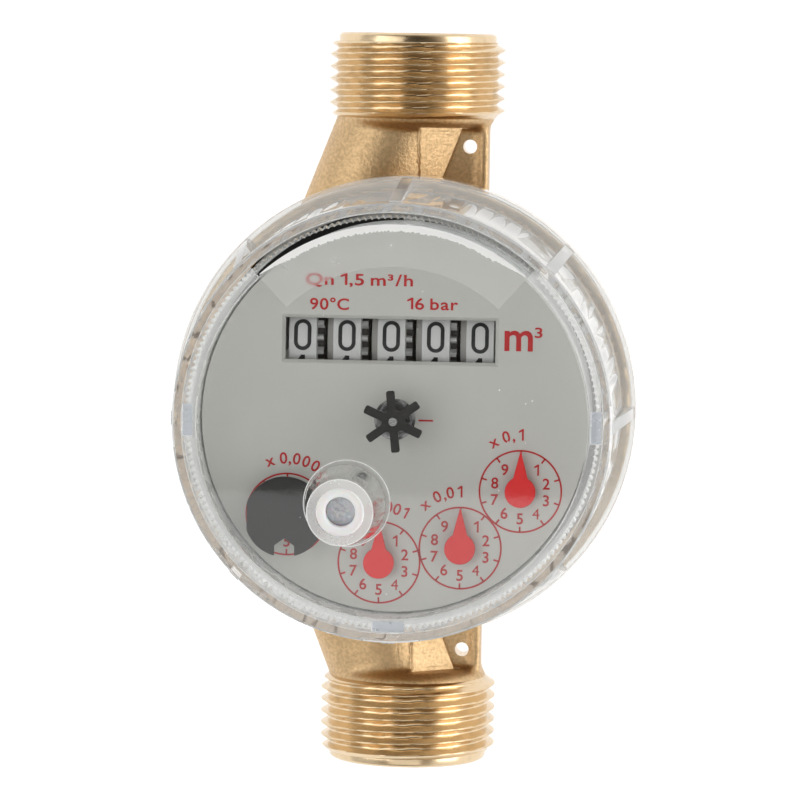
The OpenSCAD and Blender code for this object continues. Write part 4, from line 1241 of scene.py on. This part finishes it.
class METER_OT_port_plug(bpy.types.Operator):
    """Makes the port's plug, its sealing compound and the white lines of the port's edges, which
    are painted highlights
    """

    bl_idname = "meter.port_plug"
    bl_label = "Port plug and seal"

    def execute(self, context):
        look = context.scene.meter_clear
        low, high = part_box("port_plug")
        centre = Matrix.Translation(mm(*PORT, 0))
        bm = bmesh.new()
        revolve(bm, plug_profile(low.z / MM, high.z / MM), 96, centre)
        plug = from_bmesh("plug", bm)
        smooth(plug, 50)
        plug.data.materials.append(skin_material(
            "plug_white", (0.93, 0.94, 0.955), 0.35, 0.03,
            Subsurface_Weight=0.35, Subsurface_Scale=0.002))
        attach(plug, "meter")
        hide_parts("port_plug")

        # Thin white rings on the port's foot and mouth edges: painted highlights
        bm = bmesh.new()
        for r, h in PORT_EDGES:
            revolve(bm, [(r - 0.09, h), (r + 0.07, h), (r + 0.03, h + 0.1), (r - 0.05, h + 0.1),
                         (r - 0.09, h)], 128, centre)
        bmesh.ops.remove_doubles(bm, verts=bm.verts, dist=1e-7)
        edges = from_bmesh("port_edge_highlights", bm)
        edges.data.materials.append(milky_plastic(look, "edge_white"))
        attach(edges, "meter")

        seal = seal_lump(look, centre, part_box("port_seal")[0].z / MM)
        smooth(seal, 80)
        seal.data.materials.append(skin_material(
            "seal_wax", (0.66, 0.67, 0.70), 0.3, 0.12, 1400.0, 0.4, 0.1,
            Subsurface_Weight=0.3, Subsurface_Scale=0.001))
        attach(seal, "meter")
        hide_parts("port_seal")
        return {"FINISHED"}


# ---------------------------------------------------------------- works


def numbered(name, count):
    """Names of pieces that are numbered from 1."""
    return ["%s_%d" % (name, n) for n in range(1, count + 1)]


class METER_OT_works(bpy.types.Operator):
    """Finishes the frame, the gears and the chamber inside"""

    bl_idname = "meter.works"
    bl_label = "Works"

    def execute(self, context):
        white = context.scene.meter_clear.white_colour
        plan = {
            skin_material("gear_plastic", white, 0.4, 0.05, 1500.0): [
                *numbered("reduction_gear", 2), *numbered("pointer_gear", 4),
                *numbered("idler_gear", 3), "drum_idler_gear", "worm_arbor", "inlet_strainer"],
            skin_material("frame_plastic", (0.5, 0.5, 0.49), 0.5, 0.06, 1500.0): [
                "lower_plate", "top_plate", "drum_cheeks", "impeller", "register_base"],
            hand_black(): numbered("transfer_pinion", 4),
            skin_material("seal_rubber", (0.02, 0.02, 0.02), 0.7, 0.2, 2200.0): [
                "lens_gasket", "plate_oring"],
            skin_material("ferrite", (0.05, 0.05, 0.055), 0.6, 0.25, 2600.0): [
                "impeller_magnet", "follower_magnet"],
            turned_brass(context.scene.meter_brass): [
                "pressure_plate", "clamp_ring", "base_spacers", "frame_pillars"],
            ground_steel(): ["impeller_pin", "centre_arbor", "drum_shaft", "pinion_shaft"],
        }
        for material, names in plan.items():
            for name in names:
                dress(name, material)
        return {"FINISHED"}


# ---------------------------------------------------------------- stage


# Each soft box: its place, the point it looks at and its size, in metres, and its power in watts
SOFT_BOXES = {
    "back_box": ((0, -0.66, 1.5), (0, -0.66, 0), (1.4, 1.0), 3.9),
    "left_box": ((-0.98, 0.1, 1.15), (0, 0, 0.05), (1.2, 1.2), 6.3),
    "right_box": ((1.4, 0.1, 0.65), (0, 0, 0.05), (1.5, 1.0), 8.0),
}


def lamp(name, place, target, size, power):
    """A rectangular soft box that looks at a point."""
    data = bpy.data.lights.new(name, "AREA")
    data.shape = "RECTANGLE"
    data.size, data.size_y = size
    data.energy = power
    made = put(name, data)
    made.location = place
    made.rotation_euler = (Vector(target) - Vector(place)).to_track_quat("-Z", "Y").to_euler()


def floor_white(look):
    """Floor that is white for the camera and for reflections, and keeps its shadow."""
    made, tree, principled, out = blank_material("floor_white")
    tree.nodes.remove(principled)
    path = add(tree, "ShaderNodeLightPath").outputs
    seen = math_node(tree, "MAXIMUM", path["Is Camera Ray"], path["Is Glossy Ray"])
    seen = math_node(tree, "MAXIMUM", seen, path["Is Transmission Ray"])
    drift = ramp(tree, noise_node(tree, own_place(tree), 3.0, 2.0), 0.2, 0.8, 0.98, 1.0)
    paper = mix_colour(tree, 1.0, rgba(look.floor_colour), drift, "MULTIPLY")
    diffuse = add(tree, "ShaderNodeBsdfDiffuse", {"Color": paper})
    white = math_node(tree, "MULTIPLY", seen, look.floor_glow)
    glow = add(tree, "ShaderNodeEmission", {"Strength": white})
    both = add(tree, "ShaderNodeAddShader", {0: diffuse.outputs[0], 1: glow.outputs[0]})
    tree.links.new(both.outputs[0], out.inputs["Surface"])
    return made


def studio(look):
    """World that is bright at the sides, more so on the right, and dim and warm above."""
    world = bpy.data.worlds.new("studio")
    world.use_nodes = True
    tree = world.node_tree
    generated = add(tree, "ShaderNodeTexCoord").outputs["Generated"]
    way = add(tree, "ShaderNodeSeparateXYZ", {0: generated}).outputs
    low, high = 0.55, 0.92
    fade = ramp(tree, way["Z"], low, high, look.side_light, look.top_light)
    lean = math_node(tree, "ADD", math_node(tree, "MULTIPLY", way["X"], 0.28), 0.55)
    sides = math_node(tree, "MULTIPLY", math_node(tree, "ABSOLUTE", way["X"]), 0.6)
    strength = math_node(tree, "MULTIPLY", fade, math_node(tree, "ADD", lean, sides))
    tint = mix_colour(tree, ramp(tree, way["Z"], low, high), (1, 1, 1, 1), (1, 0.86, 0.68, 1))
    fill(tree, tree.nodes["Background"], {"Strength": strength, "Color": tint})
    return world


class METER_OT_stage(bpy.types.Operator):
    """Sets the floor, the soft light and the camera"""

    bl_idname = "meter.stage"
    bl_label = "Stage"

    def execute(self, context):
        scene = context.scene
        look = scene.meter_stage
        scene.view_settings.view_transform = "Standard"

        data = bpy.data.cameras.new("camera")
        data.lens = look.lens
        data.sensor_width = 36.0
        data.clip_start, data.clip_end = 0.01, 50.0
        camera = put("camera", data)
        rx, ry, rz = (Matrix.Rotation(a, 4, axis) for a, axis in zip(look.camera_turn, "XYZ"))
        turn = rz @ ry @ rx
        camera.matrix_world = Matrix.Translation(look.camera_place) @ turn.transposed()
        scene.camera = camera

        bm = bmesh.new()
        bmesh.ops.create_grid(bm, x_segments=8, y_segments=8, size=4.0)
        floor = from_bmesh("floor", bm)
        floor.data.materials.append(floor_white(look))

        scene.world = studio(look)
        for name, box in SOFT_BOXES.items():
            lamp(name, *box)
        return {"FINISHED"}


# ---------------------------------------------------------------- add-on


class METER_PT_parts(bpy.types.Panel):
    """Sidebar panel with the settings and the operators"""

    bl_idname = "METER_PT_parts"
    bl_label = "Water meter"
    bl_space_type = "VIEW_3D"
    bl_region_type = "UI"
    bl_category = "Water meter"

    def draw(self, context):
        layout = self.layout
        for name in SETTINGS:
            settings = getattr(context.scene, name)
            box = layout.box()
            for key in settings.__annotations__:
                box.prop(settings, key)
        for operator in OPERATORS:
            layout.operator(operator.bl_idname)


SETTINGS = {
    "meter_brass": MeterBrass,
    "meter_dial": MeterDial,
    "meter_clear": MeterClear,
    "meter_stage": MeterStage,
}
OPERATORS = (
    METER_OT_stage, METER_OT_brass_body, METER_OT_dial_print, METER_OT_drum_digits, METER_OT_hands,
    METER_OT_clear_parts, METER_OT_port_plug, METER_OT_works)
CLASSES = (*SETTINGS.values(), *OPERATORS, METER_PT_parts)


def register():
    """Registers the classes and the scene's settings."""
    for cls in CLASSES:
        bpy.utils.register_class(cls)
    for name, cls in SETTINGS.items():
        setattr(bpy.types.Scene, name, PointerProperty(type=cls))


def unregister():
    """Undoes register."""
    for name in SETTINGS:
        delattr(bpy.types.Scene, name)
    for cls in reversed(CLASSES):
        bpy.utils.unregister_class(cls)


def main():
    register()
    for name in ("stage", "brass_body", "dial_print", "drum_digits", "hands", "clear_parts",
                 "port_plug", "works"):
        getattr(bpy.ops.meter, name)()


if __name__ == "__main__":
    main()
